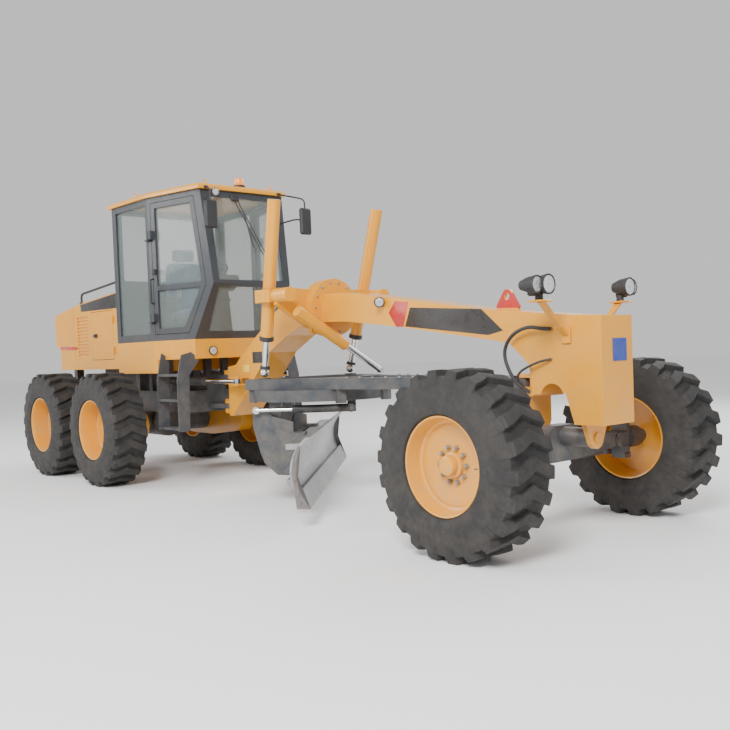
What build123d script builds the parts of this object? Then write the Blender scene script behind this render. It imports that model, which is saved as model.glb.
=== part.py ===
from build123d import *
import math
import os

# Motor grader, millimetres. X forward, Y to the left, Z up. The origin lies on the ground,
# half way between the front tyres' tread and the tail. Right-hand pieces lie at negative Y.

# Driving dimensions of the whole machine
WHEELBASE = 6358.0
FRONT_AXLE_X = 3800.0
TRACK = 2167.0
TYRE_DIAMETER = 1300.0
TYRE_WIDTH = 445.0
TANDEM_SPACING = 1535.0
ARTICULATION_X = -758.0

# Clearances
PIN_FIT = 0.05
SEAT_GAP = 0.3
EAR_GAP = 5.0
PANEL_GAP = 6.0
EYE_DRIFT = 8.0
TIE_END_CLEARANCE = 22.0

# Tyres: a faceted carcass with V-shaped lugs
LUG_COUNT = 22
LUG_DEPTH = 42.0
LUG_SHARE = 0.56
LUG_SWEEP = 70.0
LUG_EDGE = 6.0
TREAD_HALF_WIDTH = 190.0
SIDEWALL_DROP = 150.0

# Rims
RIM_SEAT_RADIUS = 345.0
RIM_HALF_WIDTH = 196.0
RIM_WALL = 18.0
RIM_DISC = 24.0
FRONT_DISC_OFFSET = 40.0
REAR_DISC_OFFSET = -60.0
HUB_RADIUS = 95.0
HUB_HEIGHT = 90.0
SPINDLE_RADIUS = 55.0

# Tandem cases and the rear axle
TANDEM_INNER_Y = 640.0
TANDEM_WIDTH = 190.0
TANDEM_END_RADIUS = 175.0
TANDEM_MID_HEIGHT = 470.0
AXLE_TUBE_RADIUS = 165.0
TANDEM_PIVOT_RADIUS = 110.0

# Rear frame
RAIL_INNER_Y = 330.0
RAIL_WIDTH = 100.0
RAIL_BOTTOM = 800.0
RAIL_HEIGHT = 250.0
RAIL_REAR_X = -4300.0
RAIL_FRONT_X = -1120.0
HINGE_EAR_RADIUS = 100.0
HINGE_EAR_THICK = 50.0
HINGE_PIN_RADIUS = 45.0
HINGE_LOWER_Z = 870.0
HINGE_UPPER_Z = 1200.0
HITCH_HOLE_RADIUS = 25.0
HITCH_EAR = 45.0
HITCH_LENGTH = 85.0

# Engine, hood and tail
HOOD_HALF_WIDTH = 585.0
HOOD_WALL = 30.0
HOOD_BOTTOM = 1330.0
HOOD_FRONT_X = -2130.0
HOOD_FRONT_TOP = 2330.0
HOOD_REAR_X = -3809.0
HOOD_REAR_TOP = 2207.0
TAIL_REAR_X = -4455.0
TAIL_TOP = 2112.0
TAIL_STEP_X = -4300.0
TAIL_STEP_Z = 1590.0
ENGINE_LENGTH = 1100.0
ENGINE_WIDTH = 560.0
ENGINE_HEIGHT = 850.0
ENGINE_X = -3000.0
ENGINE_DOOR_REAR_X = -3226.0
ENGINE_DOOR_FRONT_X = -2583.0
ENGINE_DOOR_BOTTOM = 1450.0
ENGINE_DOOR_TOP = 2080.0
LOUVRE_BLOCKS = 4
LOUVRE_REAR_X = -3688.0
LOUVRE_FRONT_X = -3330.0
LOUVRE_BOTTOM = 1500.0
LOUVRE_TOP = 2040.0
LOUVRE_DEPTH = 14.0
GRILLE_BARS = 7
GRILLE_SIDE = 110.0
GRILLE_BOTTOM = 1750.0
GRILLE_TOP = 2022.0

# Cab
CAB_REAR_X = -2100.0
CAB_REAR_HALF = 757.0
CAB_POST_X = -1238.0
CAB_POST_HALF = 735.0
CAB_FRONT_HALF = 500.0
CAB_SILL_Z = 1640.0
CAB_BELT_Z = 2231.0
CAB_HEAD_Z = 3250.0
CAB_BASE_FRONT_X = -578.0
CAB_BELT_FRONT_X = -264.0
CAB_HEAD_FRONT_X = -412.0
CAB_WALL = 60.0
CAB_PILLAR = 75.0
SKIRT_BOTTOM_Z = 1275.0
SKIRT_STEP_Z = 1425.0
SKIRT_STEP_X = -1173.0
FLOOR_THICK = 40.0
DOOR_THICK = 45.0
DOOR_FRAME = 60.0
GLASS_THICK = 8.0
GLASS_INSET = 22.0
ROOF_THICK = 60.0
ROOF_REAR_X = -2160.0
ROOF_OVERHANG = 32.0
SEAT_X = -1500.0
SEAT_WIDTH = 500.0
DOOR_HINGE_RADIUS = 16.0
DOOR_PIN_RADIUS = 8.0
DOOR_HINGE_HEIGHT = 90.0

# Front frame: goose neck, beam and nose, one welded box
BEAM_HALF_WIDTH = 180.0
NOSE_HALF_WIDTH = 190.0
NOSE_FRONT_X = 4339.0
NOSE_FOLD_X = 4088.0
NOSE_TOP = 1631.0
NOSE_BOTTOM = 853.0
FOOT_REAR_X = -566.0
FOOT_TOP = 1319.0
FOOT_BOTTOM = 769.0
NOSE_ARCH_X = 3892.0
NOSE_ARCH_RADIUS = 105.0
NOSE_ARCH_Z = 1045.0
EYE_PLATE_X = 3352.0
EYE_PLATE_THICK = 30.0
EYE_PLATE_HOLE = 27.0
EYE_PLATE_HEIGHT = 145.0
EYE_PLATE_LENGTH = 256.0

# Saddle: the drum round the beam and the arms for the lift cylinders
DRUM_X = 1162.0
DRUM_Z = 1880.0
DRUM_RADIUS = 280.0
DRUM_LENGTH = 160.0
GIMBAL_X = 885.0
GIMBAL_Y = 590.0
GIMBAL_Z = 1997.0
ARM_THICK = 60.0
TRUNNION_RADIUS = 34.0

# Front axle
AXLE_PIN_Z = 743.0
AXLE_PIN_RADIUS = 40.0
AXLE_EAR_FRONT_X = 4150.0
AXLE_EAR_REAR_X = 3600.0
AXLE_EAR_THICK = 40.0
AXLE_EAR_RADIUS = 80.0
BEAM_TOP_Z = 720.0
BEAM_BOTTOM_Z = 560.0
BEAM_HALF_DEPTH = 62.0
LEAN_Y = 720.0
LEAN_Z = 650.0
LEAN_PIN_RADIUS = 32.0
LEAN_EYE_RADIUS = 62.0
YOKE_EAR = 34.0
KING_Y = 860.0
KING_HALF_HEIGHT = 120.0
KING_RADIUS = 56.0
KING_PIN_RADIUS = 30.0
STEER_ARM = 175.0
STEER_ARM_DROP = 80.0
STEER_ARM_THICK = 24.0
STEER_ARM_PLAN = (
    # distance behind the king pin, distance outwards: the arm bows round the yoke's web
    (40, 20), (105, 20), (150, -30), (185, 30), (120, 80), (40, 80))
TIE_BALL_RADIUS = 30.0
TIE_ROD_RADIUS = 22.0

# Drawbar and circle
BALL_X = 3480.0
BALL_Z = 1130.0
SWIVEL_RADIUS = 55.0
SWIVEL_HALF = 52.0
SWIVEL_PIN_RADIUS = 30.0
CROSS_PIN_RADIUS = 25.0
CHEEK_INNER_Y = 60.0
CHEEK_THICK = 35.0
DRAWBAR_TOP = 1200.0
DRAWBAR_REAR_X = 450.0
DRAWBAR_REAR_HALF = 620.0
DRAWBAR_EYE_HOLE = 430.0
CIRCLE_X = 910.0
CIRCLE_RADIUS = 690.0
CIRCLE_BORE = 560.0
CIRCLE_TOP = 1095.0
CIRCLE_THICK = 110.0
CIRCLE_SHOE = 70.0
LIFT_EYE_X = 700.0
LIFT_EYE_Y = 548.0
LIFT_EYE_Z = 1262.0
LIFT_BALL_RADIUS = 44.0

# Blade, set across the machine at this angle
BLADE_HEADING = 135.6
BLADE_LENGTH = 3450.0
BLADE_BOTTOM_Z = 170.0
BLADE_HEIGHT = 585.0
BLADE_RADIUS = 361.0
BLADE_FORWARD = 40.0
BLADE_THICK = 20.0
EDGE_HEIGHT = 150.0
EDGE_THICK = 19.0
EDGE_SLOPE = 0.62
TILT_PIVOT_Z = 478.0
TILT_PIVOT_N = -499.0
TILT_PIN_RADIUS = 35.0
TILT_TOP_N = -575.0
TILT_TOP_Z = 915.0
TILT_BASE_N = 330.0
TILT_CYLINDER_S = -560.0
CARRIER_ARM_S = 440.0
CARRIER_THICK = 30.0
BRACKET_GAP = 8.0
RAIL_BACK_N = -190.0
SHOE_BACK_N = -238.0
SLIDE_GAP = 0.3
RAIL_SHARE = 0.76

# Hydraulic cylinders
LIFT_BARREL_RADIUS = 62.0
LIFT_ROD_RADIUS = 32.0
LIFT_TOP = 920.0
LIFT_BOTTOM = 400.0
SHIFT_BARREL_RADIUS = 55.0
SHIFT_ROD_RADIUS = 28.0
STEER_BARREL_RADIUS = 48.0
STEER_ROD_RADIUS = 25.0
CYLINDER_PIN = 24.0

SIDES = (("right", -1), ("left", 1))


def pt(*xyz):
    return Vector(*xyz)


def box(x0, x1, y0, y1, z0, z1):
    """A block between two corners."""
    lx, ly, lz = abs(x1 - x0), abs(y1 - y0), abs(z1 - z0)
    return Pos((x0 + x1) / 2, (y0 + y1) / 2, (z0 + z1) / 2) * Box(lx, ly, lz)


def bar(start, end, radius):
    """A round bar between two points."""
    a, b = Vector(*start), Vector(*end)
    return extrude(Plane(a, z_dir=b - a) * Circle(radius), amount=(b - a).length)


def plate_xz(points, y0, y1):
    """A flat plate: an outline of (x, z) points carried from y0 to y1."""
    face = make_face(Polyline(*[pt(x, y0, z) for x, z in points], close=True))
    return extrude(face, amount=y1 - y0, dir=(0, 1, 0))


def plate_yz(points, x0, x1):
    """A flat plate: an outline of (y, z) points carried from x0 to x1."""
    face = make_face(Polyline(*[pt(x0, y, z) for y, z in points], close=True))
    return extrude(face, amount=x1 - x0, dir=(1, 0, 0))


def plate_xy(points, z0, z1):
    """A flat plate: an outline of (x, y) points carried from z0 to z1."""
    face = make_face(Polyline(*[pt(x, y, z0) for x, y in points], close=True))
    return extrude(face, amount=z1 - z0, dir=(0, 0, 1))


def join(pieces):
    """One solid from pieces that meet."""
    whole = pieces[0]
    for piece in pieces[1:]:
        whole = whole + piece
    return whole


def ear(pin, axis, radius, thick, root, width):
    """A round-ended lug: a disc on the pin and a tongue that reaches the root point."""
    centre, foot, way = Vector(*pin), Vector(*root), Vector(*axis)
    reach = foot - centre
    start = centre - way * (thick / 2)
    disc = extrude(Plane(start, z_dir=way) * Circle(radius), amount=thick)
    middle = start + reach * 0.5
    flat = Plane(middle, x_dir=reach, z_dir=way) * Rectangle(reach.length, width)
    return disc + extrude(flat, amount=thick)


def place_on_wheel(shape, x, side, z=None):
    """Turn a wheel piece made about Z, its outer side up, on to the wheel's centre."""
    turned = Rot(-90 * side, 0, 0) * shape
    return Pos(x, side * TRACK / 2, TYRE_DIAMETER / 2 if z is None else z) * turned


WHEELS = (
    # name, axle x, disc offset from the tyre's middle
    ("front", FRONT_AXLE_X, FRONT_DISC_OFFSET),
    ("middle", FRONT_AXLE_X - WHEELBASE + TANDEM_SPACING / 2, REAR_DISC_OFFSET),
    ("rear", FRONT_AXLE_X - WHEELBASE - TANDEM_SPACING / 2, REAR_DISC_OFFSET),
)
TANDEM_X = FRONT_AXLE_X - WHEELBASE
WHEEL_Z = TYRE_DIAMETER / 2


def make_carcass():
    """Tyre body with one flat facet for each lug and sloping walls down to the rim."""
    top, half = TYRE_DIAMETER / 2, TYRE_WIDTH / 2
    tread = top - LUG_DEPTH
    outline = RegularPolygon(tread, LUG_COUNT, major_radius=False)
    band = extrude(Pos(0, 0, -TREAD_HALF_WIDTH) * outline, amount=2 * TREAD_HALF_WIDTH)
    rise = half - TREAD_HALF_WIDTH
    slope = math.degrees(math.atan2(SIDEWALL_DROP - LUG_DEPTH, rise))
    wall = extrude(Pos(0, 0, TREAD_HALF_WIDTH) * outline, amount=rise, taper=slope)
    carcass = band + wall + mirror(wall, Plane.XY)
    seat = RegularPolygon(RIM_SEAT_RADIUS + SEAT_GAP, 2 * LUG_COUNT, major_radius=False)
    return carcass - extrude(Pos(0, 0, -TYRE_WIDTH) * seat, amount=2 * TYRE_WIDTH)


def make_tyre():
    """Carcass with a V-shaped lug fused on each of its facets."""
    top = TYRE_DIAMETER / 2
    tread = top - LUG_DEPTH
    edge, crown = TREAD_HALF_WIDTH - LUG_EDGE, TREAD_HALF_WIDTH - 2 * LUG_EDGE
    section = ((tread - LUG_EDGE, -edge), (top, -crown), (top, crown), (tread - LUG_EDGE, edge))
    face = make_face(Polyline(*[pt(r, 0, z) for r, z in section], close=True))
    slab = extrude(face, amount=top / 2, dir=(0, 1, 0), both=True)
    width = LUG_SHARE * math.pi * tread / LUG_COUNT
    tip = LUG_SWEEP / 2
    vee = ((-width - tip, -edge), (width - tip, -edge), (width + tip, 0), (width - tip, edge),
           (-width - tip, edge), (-width + tip, 0))
    sketch = make_face(Polyline(*[pt(0, y, z) for y, z in vee], close=True))
    lug = extrude(sketch, amount=2 * top, dir=(1, 0, 0)) & slab
    step = 360 / LUG_COUNT
    lugs = [Rot(0, 0, (index + 0.5) * step) * lug for index in range(LUG_COUNT)]
    return make_carcass().fuse(*lugs)


def make_rim(offset):
    """Deep dish rim: barrel, disc and hub with a blind bore for its spindle."""
    seat, half, wall = RIM_SEAT_RADIUS, RIM_HALF_WIDTH, RIM_WALL
    cap = offset + RIM_DISC + HUB_HEIGHT
    profile = (
        # radius, height along the wheel's axis
        (0, cap),
        (HUB_RADIUS - 25, cap),
        (HUB_RADIUS, offset + RIM_DISC),
        (seat - 70, offset + RIM_DISC),
        (seat - wall, half),
        (seat, half),
        (seat, -half),
        (seat - wall, -half),
        (seat - wall - 12, offset),
        (SPINDLE_RADIUS + PIN_FIT, offset),
        (SPINDLE_RADIUS + PIN_FIT, cap - 30),
        (0, cap - 30),
    )
    face = make_face(Polyline(*[pt(r, 0, z) for r, z in profile], close=True))
    return revolve(face, Axis.Z)


def spindle(x, side, offset, root_y):
    """Round stub that a rim turns on, from root_y outwards."""
    end = TRACK / 2 + offset + RIM_DISC + HUB_HEIGHT - 30 - EAR_GAP
    return bar((x, side * root_y, WHEEL_Z), (x, side * end, WHEEL_Z), SPINDLE_RADIUS)


def make_tandem(side):
    """Tandem case: deep in the middle, round at both wheels, with the two rear spindles."""
    y0, y1 = TANDEM_INNER_Y, TANDEM_INNER_Y + TANDEM_WIDTH
    half, end = TANDEM_SPACING / 2, TANDEM_END_RADIUS
    top = WHEEL_Z + TANDEM_MID_HEIGHT / 2
    bottom = WHEEL_Z - TANDEM_MID_HEIGHT / 2
    outline = (
        (TANDEM_X - half, WHEEL_Z - end), (TANDEM_X - 260, bottom), (TANDEM_X + 260, bottom),
        (TANDEM_X + half, WHEEL_Z - end), (TANDEM_X + half, WHEEL_Z + end),
        (TANDEM_X + 260, top), (TANDEM_X - 260, top), (TANDEM_X - half, WHEEL_Z + end))
    case = plate_xz(outline, min(side * y0, side * y1), max(side * y0, side * y1))
    for x in (TANDEM_X - half, TANDEM_X + half):
        case = case + bar((x, side * y0, WHEEL_Z), (x, side * y1, WHEEL_Z), end)
        case = case + spindle(x, side, REAR_DISC_OFFSET, y1 - 5)
        housing = bar((x, side * (y1 - 5), WHEEL_Z), (x, side * (TRACK / 2 - 130), WHEEL_Z), 125)
        case = case + housing
    pin = bar((TANDEM_X, side * (y0 - 5), WHEEL_Z), (TANDEM_X, side * (y1 - 30), WHEEL_Z),
              TANDEM_PIVOT_RADIUS + PIN_FIT)
    return case - pin


def make_rear_frame():
    """Two rails, cross members, the rear axle tube, the hinge ears and the tow hitch."""
    y0, y1 = RAIL_INNER_Y, RAIL_INNER_Y + RAIL_WIDTH
    top = RAIL_BOTTOM + RAIL_HEIGHT
    pieces = []
    for _, side in SIDES:
        lo, hi = sorted((side * y0, side * y1))
        pieces.append(box(RAIL_REAR_X, RAIL_FRONT_X, lo, hi, RAIL_BOTTOM, top))
    cross = (
        # rear x, front x, bottom z, top z
        (RAIL_REAR_X, RAIL_REAR_X + 60, RAIL_BOTTOM, top + 60),
        (ENGINE_X - 430, ENGINE_X - 330, RAIL_BOTTOM + 60, top - 40),
        (ENGINE_X + 330, ENGINE_X + 430, RAIL_BOTTOM + 60, top - 40),
        (RAIL_FRONT_X - 60, RAIL_FRONT_X, RAIL_BOTTOM, top),
    )
    for x0, x1, z0, z1 in cross:
        pieces.append(box(x0, x1, -y1, y1, z0, z1))
    tower = HINGE_EAR_RADIUS + 30
    pieces.append(box(RAIL_FRONT_X - 60, RAIL_FRONT_X, -tower, tower, top - 5,
                      HINGE_UPPER_Z + 40))
    pieces.append(bar((TANDEM_X, -TANDEM_INNER_Y + SEAT_GAP, WHEEL_Z),
                      (TANDEM_X, TANDEM_INNER_Y - SEAT_GAP, WHEEL_Z), AXLE_TUBE_RADIUS))
    stub = TANDEM_INNER_Y + TANDEM_WIDTH - 30 - EAR_GAP
    pieces.append(bar((TANDEM_X, -stub, WHEEL_Z), (TANDEM_X, stub, WHEEL_Z), TANDEM_PIVOT_RADIUS))
    pieces.append(bar((TANDEM_X - 230, 0, WHEEL_Z), (TANDEM_X + 230, 0, WHEEL_Z), 205))
    for x in (TANDEM_X - 110, TANDEM_X + 110):
        pieces.append(box(x - 30, x + 30, -y1, y1, WHEEL_Z + 60, RAIL_BOTTOM + 40))
    for z in (HINGE_LOWER_Z, HINGE_UPPER_Z):
        pieces.append(ear((ARTICULATION_X, 0, z), (0, 0, 1), HINGE_EAR_RADIUS, HINGE_EAR_THICK,
                          (RAIL_FRONT_X, 0, z), 2 * HINGE_EAR_RADIUS))
    for _, side in SIDES:
        pieces += cab_mounts(side)
        pieces.append(steering_base(side))
        lo, hi = sorted((side * y0, side * y1))
        pieces.append(box(RAIL_REAR_X + 60, RAIL_REAR_X + 160, lo, hi, top, HOOD_BOTTOM))
        pieces.append(box(HOOD_FRONT_X - 200, HOOD_FRONT_X - 100, lo, hi, top, HOOD_BOTTOM))
    hitch_x = RAIL_REAR_X - HITCH_LENGTH
    hitch_z = RAIL_BOTTOM + RAIL_HEIGHT / 2
    for z in (hitch_z - 55, hitch_z + 55):
        pieces.append(ear((hitch_x, 0, z), (0, 0, 1), 60, 30, (RAIL_REAR_X, 0, z), 120))
    frame = join(pieces)
    hole = bar((ARTICULATION_X, 0, HINGE_LOWER_Z - 60), (ARTICULATION_X, 0, HINGE_UPPER_Z + 60),
               HINGE_PIN_RADIUS + PIN_FIT)
    hitch_hole = bar((hitch_x, 0, hitch_z - 100), (hitch_x, 0, hitch_z + 100), HITCH_HOLE_RADIUS)
    return frame - hole - hitch_hole


CAB_MOUNT_X = (-1960.0, -1560.0)


def cab_mounts(side):
    """Posts from a rail up to the cab floor."""
    y = side * (RAIL_INNER_Y + RAIL_WIDTH / 2)
    top = RAIL_BOTTOM + RAIL_HEIGHT
    under = CAB_SILL_Z - FLOOR_THICK - SEAT_GAP
    posts = [box(x - 40, x + 40, y - 40, y + 40, top, under) for x in CAB_MOUNT_X]
    return posts


STEER_BASE = (-1430.0, 400.0)
STEER_EYE = (-208.0, 285.0)
STEER_Z = 1165.0


def steering_base(side):
    """Post and pin on the rail for the back end of an articulation cylinder."""
    x, y = STEER_BASE
    top = RAIL_BOTTOM + RAIL_HEIGHT
    low = STEER_Z - 25 - EAR_GAP
    post = box(x - 40, x + 40, side * y - 45, side * y + 45, top, low)
    pin = bar((x, side * y, low), (x, side * y, STEER_Z + 25), CYLINDER_PIN)
    return post + pin


def make_engine():
    """The closed engine and gear unit as one plain block on its cross members."""
    z0 = RAIL_BOTTOM + RAIL_HEIGHT - 40
    return box(ENGINE_X - ENGINE_LENGTH / 2, ENGINE_X + ENGINE_LENGTH / 2, -ENGINE_WIDTH / 2,
               ENGINE_WIDTH / 2, z0, z0 + ENGINE_HEIGHT)


def hood_top(x):
    """Height of the hood's sloping top at x."""
    share = (x - HOOD_REAR_X) / (HOOD_FRONT_X - HOOD_REAR_X)
    return HOOD_REAR_TOP + share * (HOOD_FRONT_TOP - HOOD_REAR_TOP)


def make_hood():
    """Engine hood, open below, with a doorway in each side."""
    half, wall = HOOD_HALF_WIDTH, HOOD_WALL
    rear, front = HOOD_REAR_X + PANEL_GAP, HOOD_FRONT_X
    outer = ((rear, HOOD_BOTTOM), (front, HOOD_BOTTOM), (front, hood_top(front)),
             (rear, hood_top(rear)))
    inner = ((rear + wall, HOOD_BOTTOM - 50), (front - wall, HOOD_BOTTOM - 50),
             (front - wall, hood_top(front) - wall), (rear + wall, hood_top(rear) - wall))
    shell = plate_xz(outer, -half, half)
    shell = fillet(shell.edges().filter_by(Axis.X, tolerance=6).group_by(Axis.Z)[-1], 45)
    shell = shell - plate_xz(inner, -half + wall, half - wall)
    lip = 25
    floor_lips = [box(rear, front, side * (half - wall), side * (half - wall - 200), HOOD_BOTTOM,
                      HOOD_BOTTOM + lip) for side in (-1, 1)]
    shell = shell + floor_lips[0] + floor_lips[1]
    door = box(ENGINE_DOOR_REAR_X, ENGINE_DOOR_FRONT_X, -half - 5, half + 5,
               ENGINE_DOOR_BOTTOM, ENGINE_DOOR_TOP)
    shell = shell - door
    for _, side in SIDES:
        for z in engine_hinge_heights():
            shell = shell + engine_hinge_pin(side, z)
    return louvred(shell)


def engine_hinge_heights():
    return (ENGINE_DOOR_BOTTOM + 120, ENGINE_DOOR_TOP - 120)


ENGINE_HINGE_X = ENGINE_DOOR_FRONT_X + 14
ENGINE_HINGE_Y = HOOD_HALF_WIDTH + 12


def engine_hinge_pin(side, z):
    """Upright pin on a small lug below an engine door's hinge barrel."""
    x, y = ENGINE_HINGE_X, side * ENGINE_HINGE_Y
    lo, hi = sorted((side * (HOOD_HALF_WIDTH - 5), side * (ENGINE_HINGE_Y + 12)))
    lug = box(x - 12, x + 25, lo, hi, z - 45, z - 31)
    return lug + bar((x, y, z - 32), (x, y, z + 30), 6)


def make_engine_door(side):
    """Side door of the hood with its two hinge barrels."""
    half = HOOD_HALF_WIDTH
    lo, hi = sorted((side * (half - HOOD_WALL), side * half))
    gap = PANEL_GAP
    leaf = box(ENGINE_DOOR_REAR_X + gap, ENGINE_DOOR_FRONT_X - gap, lo, hi,
               ENGINE_DOOR_BOTTOM + gap, ENGINE_DOOR_TOP - gap)
    for z in engine_hinge_heights():
        barrel = bar((ENGINE_HINGE_X, side * ENGINE_HINGE_Y, z - 30),
                     (ENGINE_HINGE_X, side * ENGINE_HINGE_Y, z + 35), 12)
        y0, y1 = sorted((side * (half - 2), side * (ENGINE_HINGE_Y + 6)))
        arm = box(ENGINE_DOOR_FRONT_X - 60, ENGINE_HINGE_X, y0 + (4 if side > 0 else 0),
                  y1 - (4 if side < 0 else 0), z - 30, z + 35)
        knuckle = barrel + arm
        foot_y0, foot_y1 = sorted((side * (half - 10), side * (half + 12)))
        knuckle = knuckle + box(ENGINE_DOOR_FRONT_X - 60, ENGINE_DOOR_FRONT_X - gap - 2,
                                foot_y0, foot_y1, z - 30, z + 35)
        pin = bar((ENGINE_HINGE_X, side * ENGINE_HINGE_Y, z - 40),
                  (ENGINE_HINGE_X, side * ENGINE_HINGE_Y, z + 31), 6 + PIN_FIT)
        leaf = leaf + (knuckle - pin)
    return leaf


def make_tail():
    """Radiator housing with a recessed grille opening and its bars at the back."""
    half = HOOD_HALF_WIDTH
    front = HOOD_REAR_X - SEAT_GAP
    outline = (
        (TAIL_STEP_X, HOOD_BOTTOM), (front, HOOD_BOTTOM), (front, HOOD_REAR_TOP),
        (TAIL_REAR_X, TAIL_TOP), (TAIL_REAR_X, TAIL_STEP_Z + 100), (TAIL_STEP_X, TAIL_STEP_Z))
    body = plate_xz(outline, -half, half)
    body = fillet(body.edges().filter_by(Axis.X, tolerance=9).group_by(Axis.Z)[-1], 45)
    reach = half - GRILLE_SIDE
    body = body - box(TAIL_REAR_X - 10, TAIL_REAR_X + 40, -reach, reach, GRILLE_BOTTOM, GRILLE_TOP)
    pitch = (GRILLE_TOP - GRILLE_BOTTOM) / (GRILLE_BARS + 1)
    for index in range(GRILLE_BARS):
        z = GRILLE_BOTTOM + pitch * (index + 1)
        body = body + box(TAIL_REAR_X + 12, TAIL_REAR_X + 41, -reach - 1, reach + 1, z - 8, z + 8)
    return body


def louvred(body):
    """Cut the blocks of shallow slots in both sides of the hood."""
    slots = LOUVRE_BLOCKS * 3
    pitch = (LOUVRE_TOP - LOUVRE_BOTTOM) / slots
    half = HOOD_HALF_WIDTH
    for index in range(slots):
        z = LOUVRE_BOTTOM + pitch * (index + 0.5)
        for side in (-1, 1):
            y0, y1 = sorted((side * (half - LOUVRE_DEPTH), side * (half + 5)))
            body = body - box(LOUVRE_REAR_X, LOUVRE_FRONT_X, y0, y1, z - pitch * 0.3,
                              z + pitch * 0.3)
    return body


def cab_plan(front_x, front_half, z, inset=0.0):
    """Plan of the cab at one height, pulled in by inset, as a closed wire."""
    rear, post = CAB_REAR_HALF - inset, CAB_POST_HALF - inset
    front = front_half - inset
    points = ((CAB_REAR_X + inset, -rear), (CAB_POST_X, -post), (front_x - inset, -front),
              (front_x - inset, front), (CAB_POST_X, post), (CAB_REAR_X + inset, rear))
    return make_face(Polyline(*[pt(x, y, z) for x, y in points], close=True))


def side_half(x):
    """Half width of the cab's slanting side wall at x, ahead of the door post."""
    share = (x - CAB_POST_X) / (CAB_BELT_FRONT_X - CAB_POST_X)
    return CAB_POST_HALF + share * (CAB_FRONT_HALF - CAB_POST_HALF)


def cab_solid(inset=0.0, below=0.0, above=0.0):
    """The cab's outer form from sill to roof, or a smaller one inside it."""
    levels = (
        # front x, height
        (CAB_BASE_FRONT_X, CAB_SILL_Z - below),
        (CAB_BELT_FRONT_X, CAB_BELT_Z),
        (CAB_HEAD_FRONT_X, CAB_HEAD_Z + above),
    )
    plans = [cab_plan(x, side_half(x), z, inset) for x, z in levels]
    return loft(plans, ruled=True)


def door_outline(inset=0.0):
    """Doorway in side view as (x, z) points, pulled in by inset."""
    low, head = CAB_SILL_Z + 70 + inset, CAB_HEAD_Z - 60 - inset
    rear = CAB_POST_X + 45 + inset
    lean = CAB_BASE_FRONT_X - CAB_PILLAR - 40 - inset
    belt = CAB_BELT_FRONT_X - CAB_PILLAR - 30 - inset * 1.1
    top = CAB_HEAD_FRONT_X - CAB_PILLAR - 20 - inset
    return ((rear, low), (lean + 38, low), (belt, CAB_BELT_Z), (top, head), (rear, head))


def door_prism(side, inset=0.0):
    lo, hi = sorted((side * 330.0, side * 900.0))
    return plate_xz(door_outline(inset), lo, hi)


def cab_windows(grow=0.0):
    """Cutters for the fixed windows; grow makes them smaller for the panes."""
    head, sill = CAB_HEAD_Z - 70 + grow, CAB_SILL_Z + 80 - grow
    front = CAB_FRONT_HALF - CAB_PILLAR + grow
    rear_half = CAB_REAR_HALF - CAB_PILLAR - 20 + grow
    cutters = [
        box(CAB_BELT_FRONT_X - 420, 0, -front, front, sill, CAB_BELT_Z - 35 + grow),
        box(CAB_BELT_FRONT_X - 420, 0, -front, front, CAB_BELT_Z + 35 - grow, head),
        box(CAB_REAR_X - 50, CAB_REAR_X + 150, -rear_half, rear_half, HOOD_FRONT_TOP + 60 - grow,
            head),
    ]
    for side in (-1, 1):
        lo, hi = sorted((side * 600.0, side * 900.0))
        cutters.append(box(CAB_REAR_X + CAB_PILLAR + 20 - grow, CAB_POST_X - 55 + grow, lo, hi,
                           sill, head))
    return cutters


DOOR_HINGE_X = CAB_POST_X + 30.0
DOOR_HINGE_Y = CAB_POST_HALF + 22.0


def door_hinge_heights():
    return (CAB_SILL_Z + 260, CAB_HEAD_Z - 420)


def make_cab_frame():
    """Pillars, sills and headers: one shell with all window and door openings cut."""
    shell = cab_solid() - cab_solid(CAB_WALL, 40, 40)
    shell = shell.cut(*cab_windows())
    shell = shell - door_prism(-1) - door_prism(1)
    for _, side in SIDES:
        for z in door_hinge_heights():
            x, y = DOOR_HINGE_X, side * DOOR_HINGE_Y
            lo, hi = sorted((side * (CAB_POST_HALF - 20), side * (DOOR_HINGE_Y + 14)))
            lug = box(x - 60, x + 12, lo, hi, z - 62, z - 46)
            pin = bar((x, y, z - 50), (x, y, z + 40), DOOR_PIN_RADIUS)
            shell = shell + lug + pin
    return shell


def make_cab_door(side):
    """Door frame with upper and lower window openings and its hinge barrels."""
    slab = cab_solid() - cab_solid(DOOR_THICK, 40, 40)
    leaf = slab & door_prism(side, PANEL_GAP)
    for pane in door_panes():
        lo, hi = sorted((side * 330.0, side * 900.0))
        leaf = leaf - plate_xz(pane, lo, hi)
    for z in door_hinge_heights():
        x, y = DOOR_HINGE_X, side * DOOR_HINGE_Y
        barrel = bar((x, y, z - 45), (x, y, z + 45), DOOR_HINGE_RADIUS)
        lo, hi = sorted((side * (CAB_POST_HALF - 40), side * (DOOR_HINGE_Y + 6)))
        arm = box(x + 25, x + 70, lo, hi, z - 45, z + 45)
        lo, hi = sorted((side * (DOOR_HINGE_Y - 6), side * (DOOR_HINGE_Y + 6)))
        arm = arm + box(x, x + 30, lo, hi, z - 45, z + 45)
        pin = bar((x, y, z - 60), (x, y, z + 41), DOOR_PIN_RADIUS + PIN_FIT)
        leaf = leaf + (barrel + arm - pin)
    return leaf


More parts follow.
